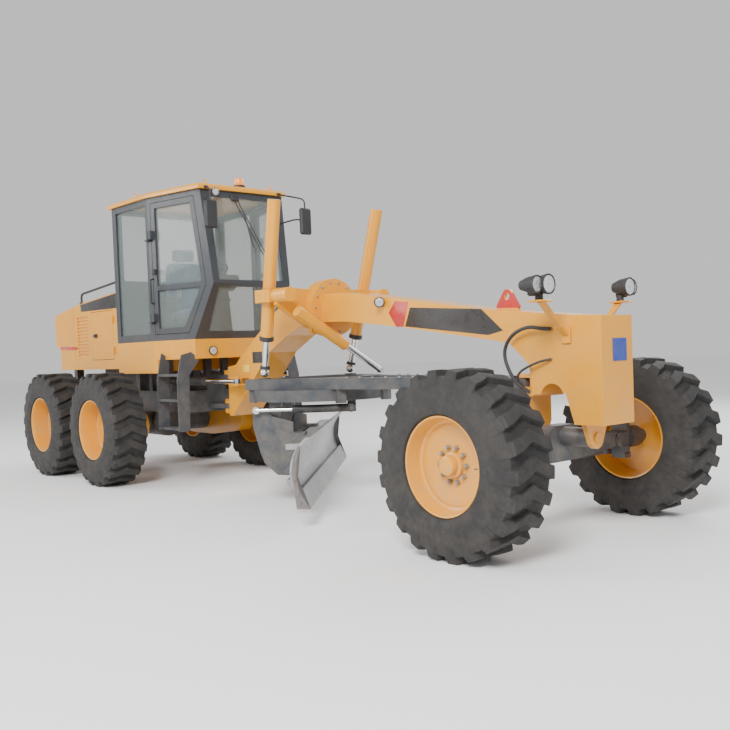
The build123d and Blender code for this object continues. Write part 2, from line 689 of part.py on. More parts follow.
def door_panes(shrink=0.0):
    """Upper and lower glass outlines of a door as (x, z) points."""
    inset = PANEL_GAP + DOOR_FRAME + shrink
    rear, low = door_outline(inset)[0]
    lean = door_outline(inset)[1][0]
    belt = door_outline(inset)[2][0]
    top, head = door_outline(inset)[3]
    rail = 28 + shrink
    slope = (belt - lean) / (CAB_BELT_Z - low)
    lower = ((rear, low), (lean, low), (belt - slope * rail, CAB_BELT_Z - rail),
             (rear, CAB_BELT_Z - rail))
    upper = ((rear, CAB_BELT_Z + rail), (belt, CAB_BELT_Z + rail), (top, head), (rear, head))
    return lower, upper


def glass_skin():
    """Thin shell in which every pane lies."""
    outer = cab_solid(GLASS_INSET, 30, 30)
    return outer - cab_solid(GLASS_INSET + GLASS_THICK, 40, 40)


def make_door_glass(side):
    lo, hi = sorted((side * 330.0, side * 900.0))
    skin = glass_skin()
    lower, upper = door_panes(SEAT_GAP)
    return Compound(children=(skin & plate_xz(lower, lo, hi)).solids()
                    + (skin & plate_xz(upper, lo, hi)).solids())


def make_cab_glass():
    skin = glass_skin()
    panes = []
    for cutter in cab_windows(-SEAT_GAP):
        panes += (skin & cutter).solids()
    return Compound(children=panes)


def make_cab_floor():
    """Yellow skirt under the windows: four walls and a floor, stepped up at the front."""
    plan = cab_plan(CAB_BASE_FRONT_X, side_half(CAB_BASE_FRONT_X), SKIRT_BOTTOM_Z)
    inner = cab_plan(CAB_BASE_FRONT_X, side_half(CAB_BASE_FRONT_X), SKIRT_BOTTOM_Z, FLOOR_THICK)
    height = CAB_SILL_Z - SEAT_GAP - SKIRT_BOTTOM_Z
    tub = extrude(plan, amount=height, dir=(0, 0, 1))
    hollow = extrude(inner, amount=height - FLOOR_THICK, dir=(0, 0, 1))
    step = box(SKIRT_STEP_X, 0, -900, 900, SKIRT_BOTTOM_Z - 10, SKIRT_STEP_Z)
    return tub - hollow - step


def make_cab_roof():
    """Roof panel with chamfered rim, overhanging the walls."""
    over = ROOF_OVERHANG
    front_half = side_half(CAB_HEAD_FRONT_X)
    points = ((ROOF_REAR_X, CAB_REAR_HALF + over), (CAB_POST_X, CAB_POST_HALF + over),
              (CAB_HEAD_FRONT_X + over, front_half + over))
    outline = points + tuple((x, -y) for x, y in reversed(points))
    roof = plate_xy(outline, CAB_HEAD_Z + SEAT_GAP, CAB_HEAD_Z + ROOF_THICK)
    return chamfer(roof.edges().group_by(Axis.Z)[-1], 28)


def make_operator_station():
    """Seat on its pedestal and the steering console, apart from each other on the floor."""
    floor = CAB_SILL_Z
    half = SEAT_WIDTH / 2
    seat = box(SEAT_X - 170, SEAT_X + 150, -170, 170, floor, floor + 260)
    cushion = plate_xz(((SEAT_X - 230, floor + 250), (SEAT_X + 250, floor + 250),
                        (SEAT_X + 270, floor + 370), (SEAT_X - 230, floor + 340)), -half, half)
    back = plate_xz(((SEAT_X - 230, floor + 300), (SEAT_X - 120, floor + 330),
                     (SEAT_X - 210, floor + 960), (SEAT_X - 320, floor + 960)), -half + 15,
                    half - 15)
    head = box(SEAT_X - 315, SEAT_X - 215, -140, 140, floor + 950, floor + 1120)
    seat = seat + cushion + back + head
    x = SEAT_X + 560
    column = plate_xz(((x - 60, floor), (x + 110, floor), (x + 10, floor + 620),
                       (x - 80, floor + 600)), -110, 110)
    dash = plate_xz(((x - 130, floor + 560), (x + 60, floor + 640), (x + 20, floor + 760),
                     (x - 150, floor + 660)), -260, 260)
    centre = Vector(x - 150, 0, floor + 800)
    tilt = Vector(-0.5, 0, 0.866)
    wheel = extrude(Plane(centre, z_dir=tilt) * (Circle(190) - Circle(165)), amount=24)
    spoke = extrude(Plane(centre, x_dir=(0, 1, 0), z_dir=tilt) * Rectangle(340, 40), amount=20)
    stem = bar(centre, Vector(x - 60, 0, floor + 650), 25)
    return Compound(children=[seat, column + dash + wheel + spoke + stem])


LADDER_REAR_X = -1050.0
LADDER_FRONT_X = -580.0
LADDER_PLATE = 14.0
LADDER_OUT_Y = 812.0
RUNG_HEIGHTS = (667.0, 977.0, 1254.0)


def make_ladders():
    """Right and left ladder: two rounded side plates and three rungs under each door."""
    sets = []
    for side in (-1, 1):
        pieces = []
        for x in (LADDER_REAR_X, LADDER_FRONT_X - LADDER_PLATE):
            reach = side_half(max(x, CAB_POST_X)) - FLOOR_THICK + 2
            outer = LADDER_OUT_Y
            clear = side_half(x) + 8
            outline = ((reach, SKIRT_STEP_Z - SEAT_GAP), (clear, SKIRT_STEP_Z - SEAT_GAP),
                       (clear, 1470), (clear + 45, 1500), (outer - 60, 1470), (outer, 1200),
                       (outer, 640), (outer - 130, 640), (outer - 150, 1250), (reach, 1400))
            points = [(side * y, z) for y, z in outline]
            pieces.append(plate_yz(points, x, x + LADDER_PLATE))
        for z in RUNG_HEIGHTS:
            lo, hi = sorted((side * (LADDER_OUT_Y - 115), side * (LADDER_OUT_Y - 10)))
            pieces.append(box(LADDER_REAR_X + 5, LADDER_FRONT_X - 5, lo, hi, z - 14, z + 14))
        sets.append(join(pieces))
    return Compound(children=sets)


MIRROR_X = -71.0
MIRROR_Y = 613.0
MIRROR_Z = 2925.0
BEACON_X = -490.0
BEACON_Y = 20.0


def make_roof_fittings():
    """Mirrors on their tube arms and the beacon on the roof."""
    roof = CAB_HEAD_Z + ROOF_THICK
    sets = []
    for side in (-1, 1):
        y = side * MIRROR_Y
        head = fillet(box(MIRROR_X - 28, MIRROR_X + 28, y - 75, y + 75, MIRROR_Z - 150,
                          MIRROR_Z + 150).edges().filter_by(Axis.X), 45)
        plate_x = CAB_HEAD_FRONT_X + ROOF_OVERHANG + SEAT_GAP
        start = (plate_x + 9, side * (side_half(CAB_HEAD_FRONT_X) - 60), CAB_HEAD_Z + 18)
        knee = (MIRROR_X - 60, side * (MIRROR_Y - 30), MIRROR_Z + 240)
        arm = bar(start, knee, 13) + Pos(*knee) * Sphere(13)
        arm = arm + bar(knee, (MIRROR_X - 10, y, MIRROR_Z + 120), 13)
        flange = box(plate_x, plate_x + 12, start[1] - 40, start[1] + 40, CAB_HEAD_Z + 2,
                     CAB_HEAD_Z + 32)
        sets.append(head + arm + flange)
    base = bar((BEACON_X, BEACON_Y, roof + SEAT_GAP), (BEACON_X, BEACON_Y, roof + 40), 70)
    dome = bar((BEACON_X, BEACON_Y, roof + 38), (BEACON_X, BEACON_Y, roof + 120), 58)
    dome = fillet(dome.edges().group_by(Axis.Z)[-1], 25)
    sets.append(base + dome)
    return Compound(children=sets)


def beam_outline():
    """Side outline of goose neck, beam and nose as (x, z) points, clockwise from the foot."""
    return (
        (FOOT_REAR_X, FOOT_BOTTOM), (FOOT_REAR_X, FOOT_TOP), (-403, 1340), (-297, 1425),
        (0, 1623), (474, 1925), (640, 1995), (980, 2020), (1539, 1990), (2081, 1914), (3222, 1738),
        (NOSE_FOLD_X, 1645), (NOSE_FRONT_X, NOSE_TOP), (NOSE_FRONT_X, NOSE_BOTTOM),
        (4086, NOSE_BOTTOM), (4012, 1082), (3703, 1063), (3711, 1267), (3581, 1390),
        (3496, 1461), (3380, 1482), (2276, 1640), (1523, 1725), (1150, 1735), (800, 1700),
        (582, 1625), (248, 1462), (-161, 1085), (-493, FOOT_BOTTOM + 13), (-530, FOOT_BOTTOM))


def make_front_frame():
    """Goose neck, beam and nose with the hinge ears, the axle ears and the lifting eye."""
    pieces = [plate_xz(beam_outline(), -BEAM_HALF_WIDTH, BEAM_HALF_WIDTH)]
    nose = ((NOSE_FOLD_X, NOSE_TOP + 14), (NOSE_FRONT_X, NOSE_TOP), (NOSE_FRONT_X, NOSE_BOTTOM),
            (NOSE_FOLD_X, NOSE_BOTTOM))
    pieces.append(plate_xz(nose, -NOSE_HALF_WIDTH, NOSE_HALF_WIDTH))
    frame = join(pieces)
    arch = bar((NOSE_ARCH_X, -300, NOSE_ARCH_Z), (NOSE_ARCH_X, 300, NOSE_ARCH_Z), NOSE_ARCH_RADIUS)
    frame = frame - arch
    frame = frame + hinge_forks() + axle_ears() + ball_bracket()
    for _, side in SIDES:
        frame = frame + steering_lug(side)
    return frame + lifting_eye()


def hinge_forks():
    """Two forks with their pins that embrace the rear frame's ears."""
    parts = []
    step = HINGE_EAR_THICK + EAR_GAP
    for z in (HINGE_LOWER_Z, HINGE_UPPER_Z):
        for level in (z - step, z + step):
            parts.append(ear((ARTICULATION_X, 0, level), (0, 0, 1), HINGE_EAR_RADIUS,
                             HINGE_EAR_THICK, (FOOT_REAR_X + 20, 0, level),
                             2 * HINGE_EAR_RADIUS))
        low, high = z - step - 20, z + step + 20
        parts.append(bar((ARTICULATION_X, 0, low), (ARTICULATION_X, 0, high), HINGE_PIN_RADIUS))
    return join(parts)


def axle_ears():
    """Front and rear ear under the nose, with the pin that the axle rocks on."""
    wide = AXLE_EAR_RADIUS
    parts = []
    for x, top in ((AXLE_EAR_FRONT_X - AXLE_EAR_THICK, NOSE_BOTTOM + 20),
                   (AXLE_EAR_REAR_X, 1060)):
        outline = [(-135, top), (135, top), (135, 850), (wide * 0.8, AXLE_PIN_Z - wide * 0.6),
                   (-wide * 0.8, AXLE_PIN_Z - wide * 0.6), (-135, 850)]
        plate = plate_yz(outline, x, x + AXLE_EAR_THICK)
        plate = plate + bar((x, 0, AXLE_PIN_Z), (x + AXLE_EAR_THICK, 0, AXLE_PIN_Z), wide)
        parts.append(plate)
    parts.append(box(AXLE_EAR_REAR_X, 3760, -135, 135, 1050, 1120))
    parts.append(bar((AXLE_EAR_REAR_X, 0, AXLE_PIN_Z), (AXLE_EAR_FRONT_X + 12, 0, AXLE_PIN_Z),
                     AXLE_PIN_RADIUS))
    return parts[0] + parts[1] + parts[2] + parts[3]


def ball_bracket():
    """Fork behind the nose with the upright pin of the drawbar's swivel."""
    x = AXLE_EAR_REAR_X
    parts = [box(x - 10, x + 60, -55, 55, BALL_Z - SWIVEL_HALF - 35, 1410)]
    for z in (BALL_Z - SWIVEL_HALF - EAR_GAP - 15, BALL_Z + SWIVEL_HALF + EAR_GAP + 15):
        parts.append(ear((BALL_X, 0, z), (0, 0, 1), 50, 30, (x, 0, z), 100))
    low, high = BALL_Z - SWIVEL_HALF - EAR_GAP - 10, BALL_Z + SWIVEL_HALF + EAR_GAP + 10
    parts.append(bar((BALL_X, 0, low), (BALL_X, 0, high), SWIVEL_PIN_RADIUS))
    return join(parts)


def steering_lug(side):
    """Clevis on the goose neck's side for an articulation cylinder's rod eye."""
    x, y = STEER_EYE
    parts = []
    for z in (STEER_Z - 25 - EAR_GAP - 16, STEER_Z + 25 + EAR_GAP):
        lo, hi = sorted((side * (BEAM_HALF_WIDTH - 20), side * (y + 45)))
        parts.append(box(x - 60, x + 60, lo, hi, z, z + 16))
    for level in (STEER_Z - 25 - EAR_GAP - 28, STEER_Z + 25 + EAR_GAP + 14):
        parts.append(bar((x, side * y, level), (x, side * y, level + 14), CYLINDER_PIN))
    return join(parts)


def lifting_eye():
    """Upright plate with a round hole on top of the beam."""
    x, base = EYE_PLATE_X, 1690
    top = 1741 + EYE_PLATE_HEIGHT
    half = EYE_PLATE_LENGTH / 2
    outline = ((x - half, base), (x + half, base), (x + 42, top - 20), (x + 22, top),
               (x - 22, top), (x - 42, top - 20))
    y = EYE_PLATE_THICK / 2
    plate = plate_xz(outline, -y, y)
    return plate - bar((x, -50, top - 55), (x, 50, top - 55), EYE_PLATE_HOLE)


def make_saddle():
    """Drum round the beam, arms up to the gimbals, and the shift cylinder's fork."""
    drum = bar((DRUM_X - DRUM_LENGTH, 0, DRUM_Z), (DRUM_X, 0, DRUM_Z), DRUM_RADIUS)
    pieces = [drum]
    x0, x1 = DRUM_X - DRUM_LENGTH, DRUM_X - DRUM_LENGTH + ARM_THICK
    for side in (-1, 1):
        inner = GIMBAL_Y - 150
        arm = [(side * y, z) for y, z in (
            (150, DRUM_Z - 230), (300, DRUM_Z - 170), (GIMBAL_Y + 30, GIMBAL_Z - 85),
            (GIMBAL_Y + 30, GIMBAL_Z + 60), (inner, GIMBAL_Z + 75), (220, DRUM_Z + 180))]
        pieces.append(plate_yz(arm, x0, x1))
    pieces.append(shift_lug())
    saddle = join(pieces)
    tunnel = plate_xz(beam_outline(), -BEAM_HALF_WIDTH - SEAT_GAP, BEAM_HALF_WIDTH + SEAT_GAP)
    saddle = saddle - tunnel
    for side in (-1, 1):
        y = side * GIMBAL_Y
        rear, front = GIMBAL_X + GIMBAL_RING + EAR_GAP, x1 + 180
        saddle = saddle + bar((rear, y, GIMBAL_Z), (front, y, GIMBAL_Z), TRUNNION_RADIUS + 34)
        saddle = saddle - bar((rear - 5, y, GIMBAL_Z), (front - 80, y, GIMBAL_Z),
                              TRUNNION_RADIUS + PIN_FIT)
    return saddle + shift_pin()


GIMBAL_RING = 112.0
GIMBAL_HALF = 60.0


SHIFT_X = 1262.0
SHIFT_PIVOT = (-250.0, 1671.0)
SHIFT_EYE = (478.0, 1242.0)
SHIFT_TOP_LENGTH = 335.0
SHIFT_BOTTOM_LENGTH = 330.0
SHIFT_BOSS = 50.0


def shift_lug():
    """Lug on the drum's lower right side for the centre-shift cylinder's pivot."""
    y, z = SHIFT_PIVOT
    x = DRUM_X - 24
    return ear((x, y, z), (1, 0, 0), 50, 48, (x, 0, DRUM_Z), 100)


def shift_pin():
    y, z = SHIFT_PIVOT
    return bar((DRUM_X - 5, y, z), (SHIFT_X - SHIFT_BOSS - EAR_GAP, y, z), CYLINDER_PIN)


def make_gimbal(side):
    """Ring round a lift cylinder with a trunnion forward and two bores across."""
    y = side * GIMBAL_Y
    ring = box(GIMBAL_X - GIMBAL_RING, GIMBAL_X + GIMBAL_RING, y - GIMBAL_RING, y + GIMBAL_RING,
               GIMBAL_Z - GIMBAL_HALF, GIMBAL_Z + GIMBAL_HALF)
    ring = chamfer(ring.edges().filter_by(Axis.Z), 40)
    hole = bar((GIMBAL_X, y, GIMBAL_Z - 100), (GIMBAL_X, y, GIMBAL_Z + 100),
               LIFT_BARREL_RADIUS + 28)
    x1 = DRUM_X - DRUM_LENGTH + ARM_THICK
    trunnion = bar((GIMBAL_X + GIMBAL_RING - 4, y, GIMBAL_Z), (x1 + 95, y, GIMBAL_Z),
                   TRUNNION_RADIUS)
    cross = bar((GIMBAL_X, y - 150, GIMBAL_Z), (GIMBAL_X, y + 150, GIMBAL_Z), 20 + PIN_FIT)
    return ring - hole + trunnion - cross


def lift_direction(side):
    eye = Vector(LIFT_EYE_X, side * LIFT_EYE_Y, LIFT_EYE_Z)
    gimbal = Vector(GIMBAL_X, side * GIMBAL_Y, GIMBAL_Z)
    return (eye - gimbal).normalized()


def make_lift_barrel(side):
    """Barrel with two cross trunnions that turn in the gimbal."""
    way = lift_direction(side)
    centre = Vector(GIMBAL_X, side * GIMBAL_Y, GIMBAL_Z)
    top = centre - way * LIFT_TOP
    bottom = centre + way * LIFT_BOTTOM
    barrel = bar(top, bottom, LIFT_BARREL_RADIUS)
    y = side * GIMBAL_Y
    cross = bar((GIMBAL_X, y - 108, GIMBAL_Z), (GIMBAL_X, y + 108, GIMBAL_Z), 20)
    bore = bar(centre - way * 820, bottom + way * 20, LIFT_ROD_RADIUS + PIN_FIT)
    return barrel + cross - bore


def make_lift_rod(side):
    """Rod with its ball eye over the drawbar's corner."""
    way = lift_direction(side)
    eye = Vector(LIFT_EYE_X, side * LIFT_EYE_Y, LIFT_EYE_Z)
    centre = Vector(GIMBAL_X, side * GIMBAL_Y, GIMBAL_Z)
    return bar(centre - way * 330, eye, LIFT_ROD_RADIUS) + Pos(*eye) * Sphere(LIFT_BALL_RADIUS)


def make_front_axle():
    """Axle beam with the rocking tube in its middle and an eye at each end."""
    half, eye = BEAM_HALF_DEPTH, LEAN_EYE_RADIUS
    x0, x1 = FRONT_AXLE_X - half, FRONT_AXLE_X + half
    arm = ((-LEAN_Y, LEAN_Z - 45), (-300, BEAM_BOTTOM_Z), (300, BEAM_BOTTOM_Z),
           (LEAN_Y, LEAN_Z - 45), (LEAN_Y, LEAN_Z + 45), (330, BEAM_TOP_Z), (110, AXLE_PIN_Z + 85),
           (-110, AXLE_PIN_Z + 85), (-330, BEAM_TOP_Z), (-LEAN_Y, LEAN_Z + 45))
    beam = plate_yz(arm, x0, x1)
    for side in (-1, 1):
        beam = beam + bar((x0, side * LEAN_Y, LEAN_Z), (x1, side * LEAN_Y, LEAN_Z), eye)
    tube_rear = AXLE_EAR_REAR_X + AXLE_EAR_THICK + EAR_GAP
    tube_front = AXLE_EAR_FRONT_X - AXLE_EAR_THICK - EAR_GAP
    beam = beam + bar((tube_rear, 0, AXLE_PIN_Z), (tube_front, 0, AXLE_PIN_Z), 72)
    hole = bar((tube_rear - 5, 0, AXLE_PIN_Z), (tube_front + 5, 0, AXLE_PIN_Z),
               AXLE_PIN_RADIUS + PIN_FIT)
    beam = beam - hole
    for side in (-1, 1):
        beam = beam - bar((x0 - 5, side * LEAN_Y, LEAN_Z), (x1 + 5, side * LEAN_Y, LEAN_Z),
                          LEAN_PIN_RADIUS + PIN_FIT)
    return beam


def make_yoke(side):
    """Lean yoke: two ears on the axle's end and a fork above and below the king pin."""
    x = FRONT_AXLE_X
    inner = BEAM_HALF_DEPTH + EAR_GAP
    outer = inner + YOKE_EAR
    web_in, web_out = LEAN_Y + LEAN_EYE_RADIUS + 6, KING_Y - KING_RADIUS - 6
    top = WHEEL_Z + KING_HALF_HEIGHT + EAR_GAP
    low = WHEEL_Z - KING_HALF_HEIGHT - EAR_GAP
    pieces = [plate_from_y(side, x - 60, x + 60, web_in, web_out, low - 35, top + 35),
              plate_from_y(side, x - outer, x + outer, web_in, web_out, LEAN_Z - 58, LEAN_Z + 58)]
    for x0, x1 in ((x - outer, x - inner), (x + inner, x + outer)):
        pieces.append(plate_from_y(side, x0, x1, LEAN_Y, web_in + 2, LEAN_Z - 58, LEAN_Z + 58))
        pieces.append(bar((x0, side * LEAN_Y, LEAN_Z), (x1, side * LEAN_Y, LEAN_Z), 58))
    for z0, z1 in ((top, top + 35), (low - 35, low)):
        pieces.append(plate_from_y(side, x - 60, x + 60, web_in, KING_Y, z0, z1))
        pieces.append(bar((x, side * KING_Y, z0), (x, side * KING_Y, z1), 60))
    pieces.append(bar((x - outer, side * LEAN_Y, LEAN_Z), (x + outer, side * LEAN_Y, LEAN_Z),
                      LEAN_PIN_RADIUS))
    pieces.append(bar((x, side * KING_Y, low - 10), (x, side * KING_Y, top + 10), KING_PIN_RADIUS))
    return join(pieces)


def plate_from_y(side, x0, x1, y0, y1, z0, z1):
    """A block given by distances from the middle plane, on one side."""
    lo, hi = sorted((side * y0, side * y1))
    return box(x0, x1, lo, hi, z0, z1)


def make_knuckle(side):
    """Steering knuckle: barrel on the king pin, spindle outwards, arm rearwards."""
    x, y = FRONT_AXLE_X, side * KING_Y
    low, top = WHEEL_Z - KING_HALF_HEIGHT, WHEEL_Z + KING_HALF_HEIGHT
    body = bar((x, y, low), (x, y, top), KING_RADIUS)
    body = body + bar((x, side * (KING_Y + 40), WHEEL_Z), (x, side * (TRACK / 2 - 55), WHEEL_Z),
                      90)
    body = body - bar((x, y, low - 5), (x, y, top + 5), KING_PIN_RADIUS + PIN_FIT)
    body = body + bar((x, side * (KING_Y + 70), WHEEL_Z), (x, side * (TRACK / 2), WHEEL_Z),
                      SPINDLE_RADIUS)
    body = body + spindle(x, side, FRONT_DISC_OFFSET, TRACK / 2 - 10)
    low = WHEEL_Z - STEER_ARM_DROP - STEER_ARM_THICK / 2
    plan = [(x - rear, y + side * out) for rear, out in STEER_ARM_PLAN]
    tip = (x - STEER_ARM, y, low)
    arm = plate_xy(plan, low, low + STEER_ARM_THICK)
    arm = arm + bar(tip, (x - STEER_ARM, y, low + STEER_ARM_THICK), 34)
    stud = bar(tip, (x - STEER_ARM, y, TIE_Z - 24), 16)
    return body + arm + stud


TIE_Z = WHEEL_Z - 126.0


def make_tie_ball():
    """Turning head on the right arm's stud, with a pin across for the tie rod."""
    x, y = FRONT_AXLE_X - STEER_ARM, -KING_Y
    head = bar((x, y, TIE_Z - 20), (x, y, TIE_Z + 20), 30)
    head = head - bar((x, y, TIE_Z - 30), (x, y, TIE_Z + 30), 16 + PIN_FIT)
    pin = bar((x, y + 26, TIE_Z), (x, y + 44, TIE_Z), 14)
    cross = bar((x - 34, y + 52, TIE_Z), (x + 34, y + 52, TIE_Z), 12)
    return head + pin + cross


def make_tie_rod():
    """Tie rod: fork at its right end on the cross pin, open eye at its left end."""
    x, y = FRONT_AXLE_X - STEER_ARM, -KING_Y + 52
    fork = box(x - 34, x + 34, y - 18, y + 60, TIE_Z - 16, TIE_Z + 16)
    slot = box(x - 20, x + 20, y - 30, y + 26, TIE_Z - 30, TIE_Z + 30)
    hole = bar((x - 50, y, TIE_Z), (x + 50, y, TIE_Z), 12 + PIN_FIT)
    rod = bar((x, y + 50, TIE_Z), (x, KING_Y - 60, TIE_Z), TIE_ROD_RADIUS)
    end = bar((x, KING_Y, TIE_Z - 16), (x, KING_Y, TIE_Z + 16), 62)
    bore = bar((x, KING_Y, TIE_Z - 30), (x, KING_Y, TIE_Z + 30), 16 + TIE_END_CLEARANCE)
    return fork - slot - hole + rod + end - bore


def make_swivel():
    """Upright swivel: turns on the nose's pin and carries the drawbar on its cross pin."""
    low, high = BALL_Z - SWIVEL_HALF, BALL_Z + SWIVEL_HALF
    body = bar((BALL_X, 0, low), (BALL_X, 0, high), SWIVEL_RADIUS)
    reach = CHEEK_INNER_Y + CHEEK_THICK
    pin = bar((BALL_X, -reach, BALL_Z), (BALL_X, reach, BALL_Z), CROSS_PIN_RADIUS)
    hole = bar((BALL_X, 0, low - 10), (BALL_X, 0, high + 10), SWIVEL_PIN_RADIUS + PIN_FIT)
    return body + pin - hole


def drawbar_plan():
    """Outer plan of the A-frame, right half then left half, as (x, y) points."""
    half = DRAWBAR_REAR_HALF
    points = ((3390, 95), (2900, 130), (1560, 345), (CIRCLE_X + 40, half), (DRAWBAR_REAR_X, half))
    return points + tuple((x, -y) for x, y in reversed(points))


def make_drawbar():
    """A-frame with a round opening over the circle, guide shoes and the front cheeks."""
    bottom = CIRCLE_TOP + SEAT_GAP
    frame = plate_xy(drawbar_plan(), bottom, DRAWBAR_TOP)
    hole = bar((CIRCLE_X, 0, bottom - 10), (CIRCLE_X, 0, DRAWBAR_TOP + 10), DRAWBAR_EYE_HOLE)
    gap = ((1500, 215), (1500, -215), (2840, -40), (2840, 40))
    frame = frame - hole - plate_xy(gap, bottom - 10, DRAWBAR_TOP + 10)
    x = BALL_X
    for side in (-1, 1):
        lo, hi = sorted((side * CHEEK_INNER_Y, side * (CHEEK_INNER_Y + CHEEK_THICK)))
        cheek = plate_xz(((x - 95, bottom), (x, BALL_Z - 45), (x, BALL_Z + 45),
                          (x - 95, DRAWBAR_TOP)), lo, hi)
        cheek = cheek + bar((x, lo, BALL_Z), (x, hi, BALL_Z), 45)
        frame = frame + cheek
    frame = frame - bar((x, -120, BALL_Z), (x, 120, BALL_Z), CROSS_PIN_RADIUS + PIN_FIT)
    for side in (-1, 1):
        y = side * LIFT_EYE_Y
        top = LIFT_EYE_Z - LIFT_BALL_RADIUS - EYE_DRIFT
        frame = frame + bar((LIFT_EYE_X, y, DRAWBAR_TOP - 5), (LIFT_EYE_X, y, top), 62)
    return frame + guide_shoes()


SHOE_ANGLES = (24.0, 127.0, 233.0, 336.0)


def guide_shoes():
    """Four hooked shoes under the drawbar that hold the circle's rim."""
    inner = CIRCLE_RADIUS + SLIDE_GAP
    low = CIRCLE_TOP - CIRCLE_THICK - SLIDE_GAP
    ring = Cylinder(inner + 45, CIRCLE_THICK + 40) - Cylinder(inner, CIRCLE_THICK + 60)
    ring = Pos(CIRCLE_X, 0, CIRCLE_TOP + 20 - (CIRCLE_THICK + 40) / 2) * ring
    lip = Cylinder(inner + 45, 20) - Cylinder(inner - 28, 40)
    lip = Pos(CIRCLE_X, 0, low - 10) * lip
    whole = ring + lip + Pos(CIRCLE_X, 0, low + 5) * (Cylinder(inner + 45, 12) - Cylinder(inner, 20))
    shoes = None
    for angle in SHOE_ANGLES:
        block = Rot(0, 0, angle) * Pos(CIRCLE_RADIUS, 0, 0) * Box(400, 90, 4000)
        shoe = whole & (Pos(CIRCLE_X, 0, 0) * block)
        shoes = shoe if shoes is None else shoes + shoe
    return shoes


def on_blade(shape):
    """Turn a blade piece, made with X across and Y along the blade, to the blade's heading."""
    return Pos(CIRCLE_X, 0, 0) * Rot(0, 0, BLADE_HEADING - 90) * shape


def make_circle():
    """Ring with two hanging arms, the tilt pin and the tilt cylinder's rear lug."""
    middle = CIRCLE_TOP - CIRCLE_THICK / 2
    ring = Cylinder(CIRCLE_RADIUS, CIRCLE_THICK) - Cylinder(CIRCLE_BORE, CIRCLE_THICK + 20)
    ring = Pos(0, 0, middle) * ring
    bottom = CIRCLE_TOP - CIRCLE_THICK
    n, z = TILT_PIVOT_N, TILT_PIVOT_Z
    arm = ((n + 59, bottom + 20), (n + 159, bottom + 20), (n + 58, z), (n - 58, z))
    pieces = [ring]
    for side in (-1, 1):
        lo, hi = sorted((side * CARRIER_ARM_S, side * (CARRIER_ARM_S + CARRIER_THICK)))
        pieces.append(plate_xz(arm, lo, hi))
        pieces.append(bar((n, lo, z), (n, hi, z), 58))
    pieces.append(bar((n, -CARRIER_ARM_S, z), (n, CARRIER_ARM_S, z), 48))
    reach = CARRIER_ARM_S + 2 * CARRIER_THICK + BRACKET_GAP
    pieces.append(bar((n, -reach, z), (n, reach, z), TILT_PIN_RADIUS))
    n1 = TILT_BASE_N
    y1 = TILT_CYLINDER_S
    lug = box(n1 - 40, n1 + 40, y1 + 38 + EAR_GAP, y1 + 68 + EAR_GAP, TILT_TOP_Z - 40, bottom + 20)
    pin = bar((n1, y1 - 20, TILT_TOP_Z), (n1, y1 + 60, TILT_TOP_Z), CYLINDER_PIN)
    return on_blade(join(pieces + [lug, pin]))


def rail_levels():
    """Heights of the two slide rails on the blade's back: (low z, high z)."""
    base = BLADE_BOTTOM_Z
    return ((base + 135, base + 185), (base + 445, base + 495))


def make_tilt_bracket():
    """Two side plates on the tilt pin with the cross beams and shoes that grip the rails."""
    n, z = TILT_PIVOT_N, TILT_PIVOT_Z
    outline = ((TILT_TOP_N - 42, TILT_TOP_Z + 20), (TILT_TOP_N + 42, TILT_TOP_Z + 20),
               (-430, 850), (SHOE_BACK_N, 790), (SHOE_BACK_N, 276), (-405, 288), (-525, 405),
               (-560, 500), (-625, 760))
    pieces = []
    inner = CARRIER_ARM_S + CARRIER_THICK + BRACKET_GAP
    for side in (-1, 1):
        lo, hi = sorted((side * inner, side * (inner + CARRIER_THICK)))
        pieces.append(plate_xz(outline, lo, hi))
        for low, high in rail_levels():
            y0, y1 = sorted((side * (inner - 70), side * (inner + 80)))
            block = box(SHOE_BACK_N - 30, -120, y0, y1, low - 26, high + 26)
            slot = box(RAIL_BACK_N - SLIDE_GAP, 0, y0 - 5, y1 + 5, low - SLIDE_GAP, high + SLIDE_GAP)
            pieces.append(block - slot)
    reach = inner + 5
    for low, high in rail_levels():
        pieces.append(box(SHOE_BACK_N - 30, SHOE_BACK_N + 20, -reach, reach, low, high))
    bracket = join(pieces)
    bores = bar((n, -700, z), (n, 700, z), TILT_PIN_RADIUS + PIN_FIT)
    y1 = TILT_CYLINDER_S
    eye = bar((TILT_TOP_N, -inner - 15, TILT_TOP_Z), (TILT_TOP_N, y1 + 18 + EAR_GAP, TILT_TOP_Z), 30)
    return on_blade(bracket - bores + eye)


def blade_arc(radius, shift=0.0):
    """Points where a curved blade face starts, bulges and ends, as (n, z)."""
    low, high = BLADE_BOTTOM_Z + EDGE_HEIGHT - 40, BLADE_BOTTOM_Z + BLADE_HEIGHT
    zc = BLADE_BOTTOM_Z + BLADE_HEIGHT / 2 + 6
    nc = BLADE_RADIUS - 100.0
    points = []
    for z in (low, zc, high):
        points.append((nc - math.sqrt(radius ** 2 - (z - zc) ** 2), z))
    return points


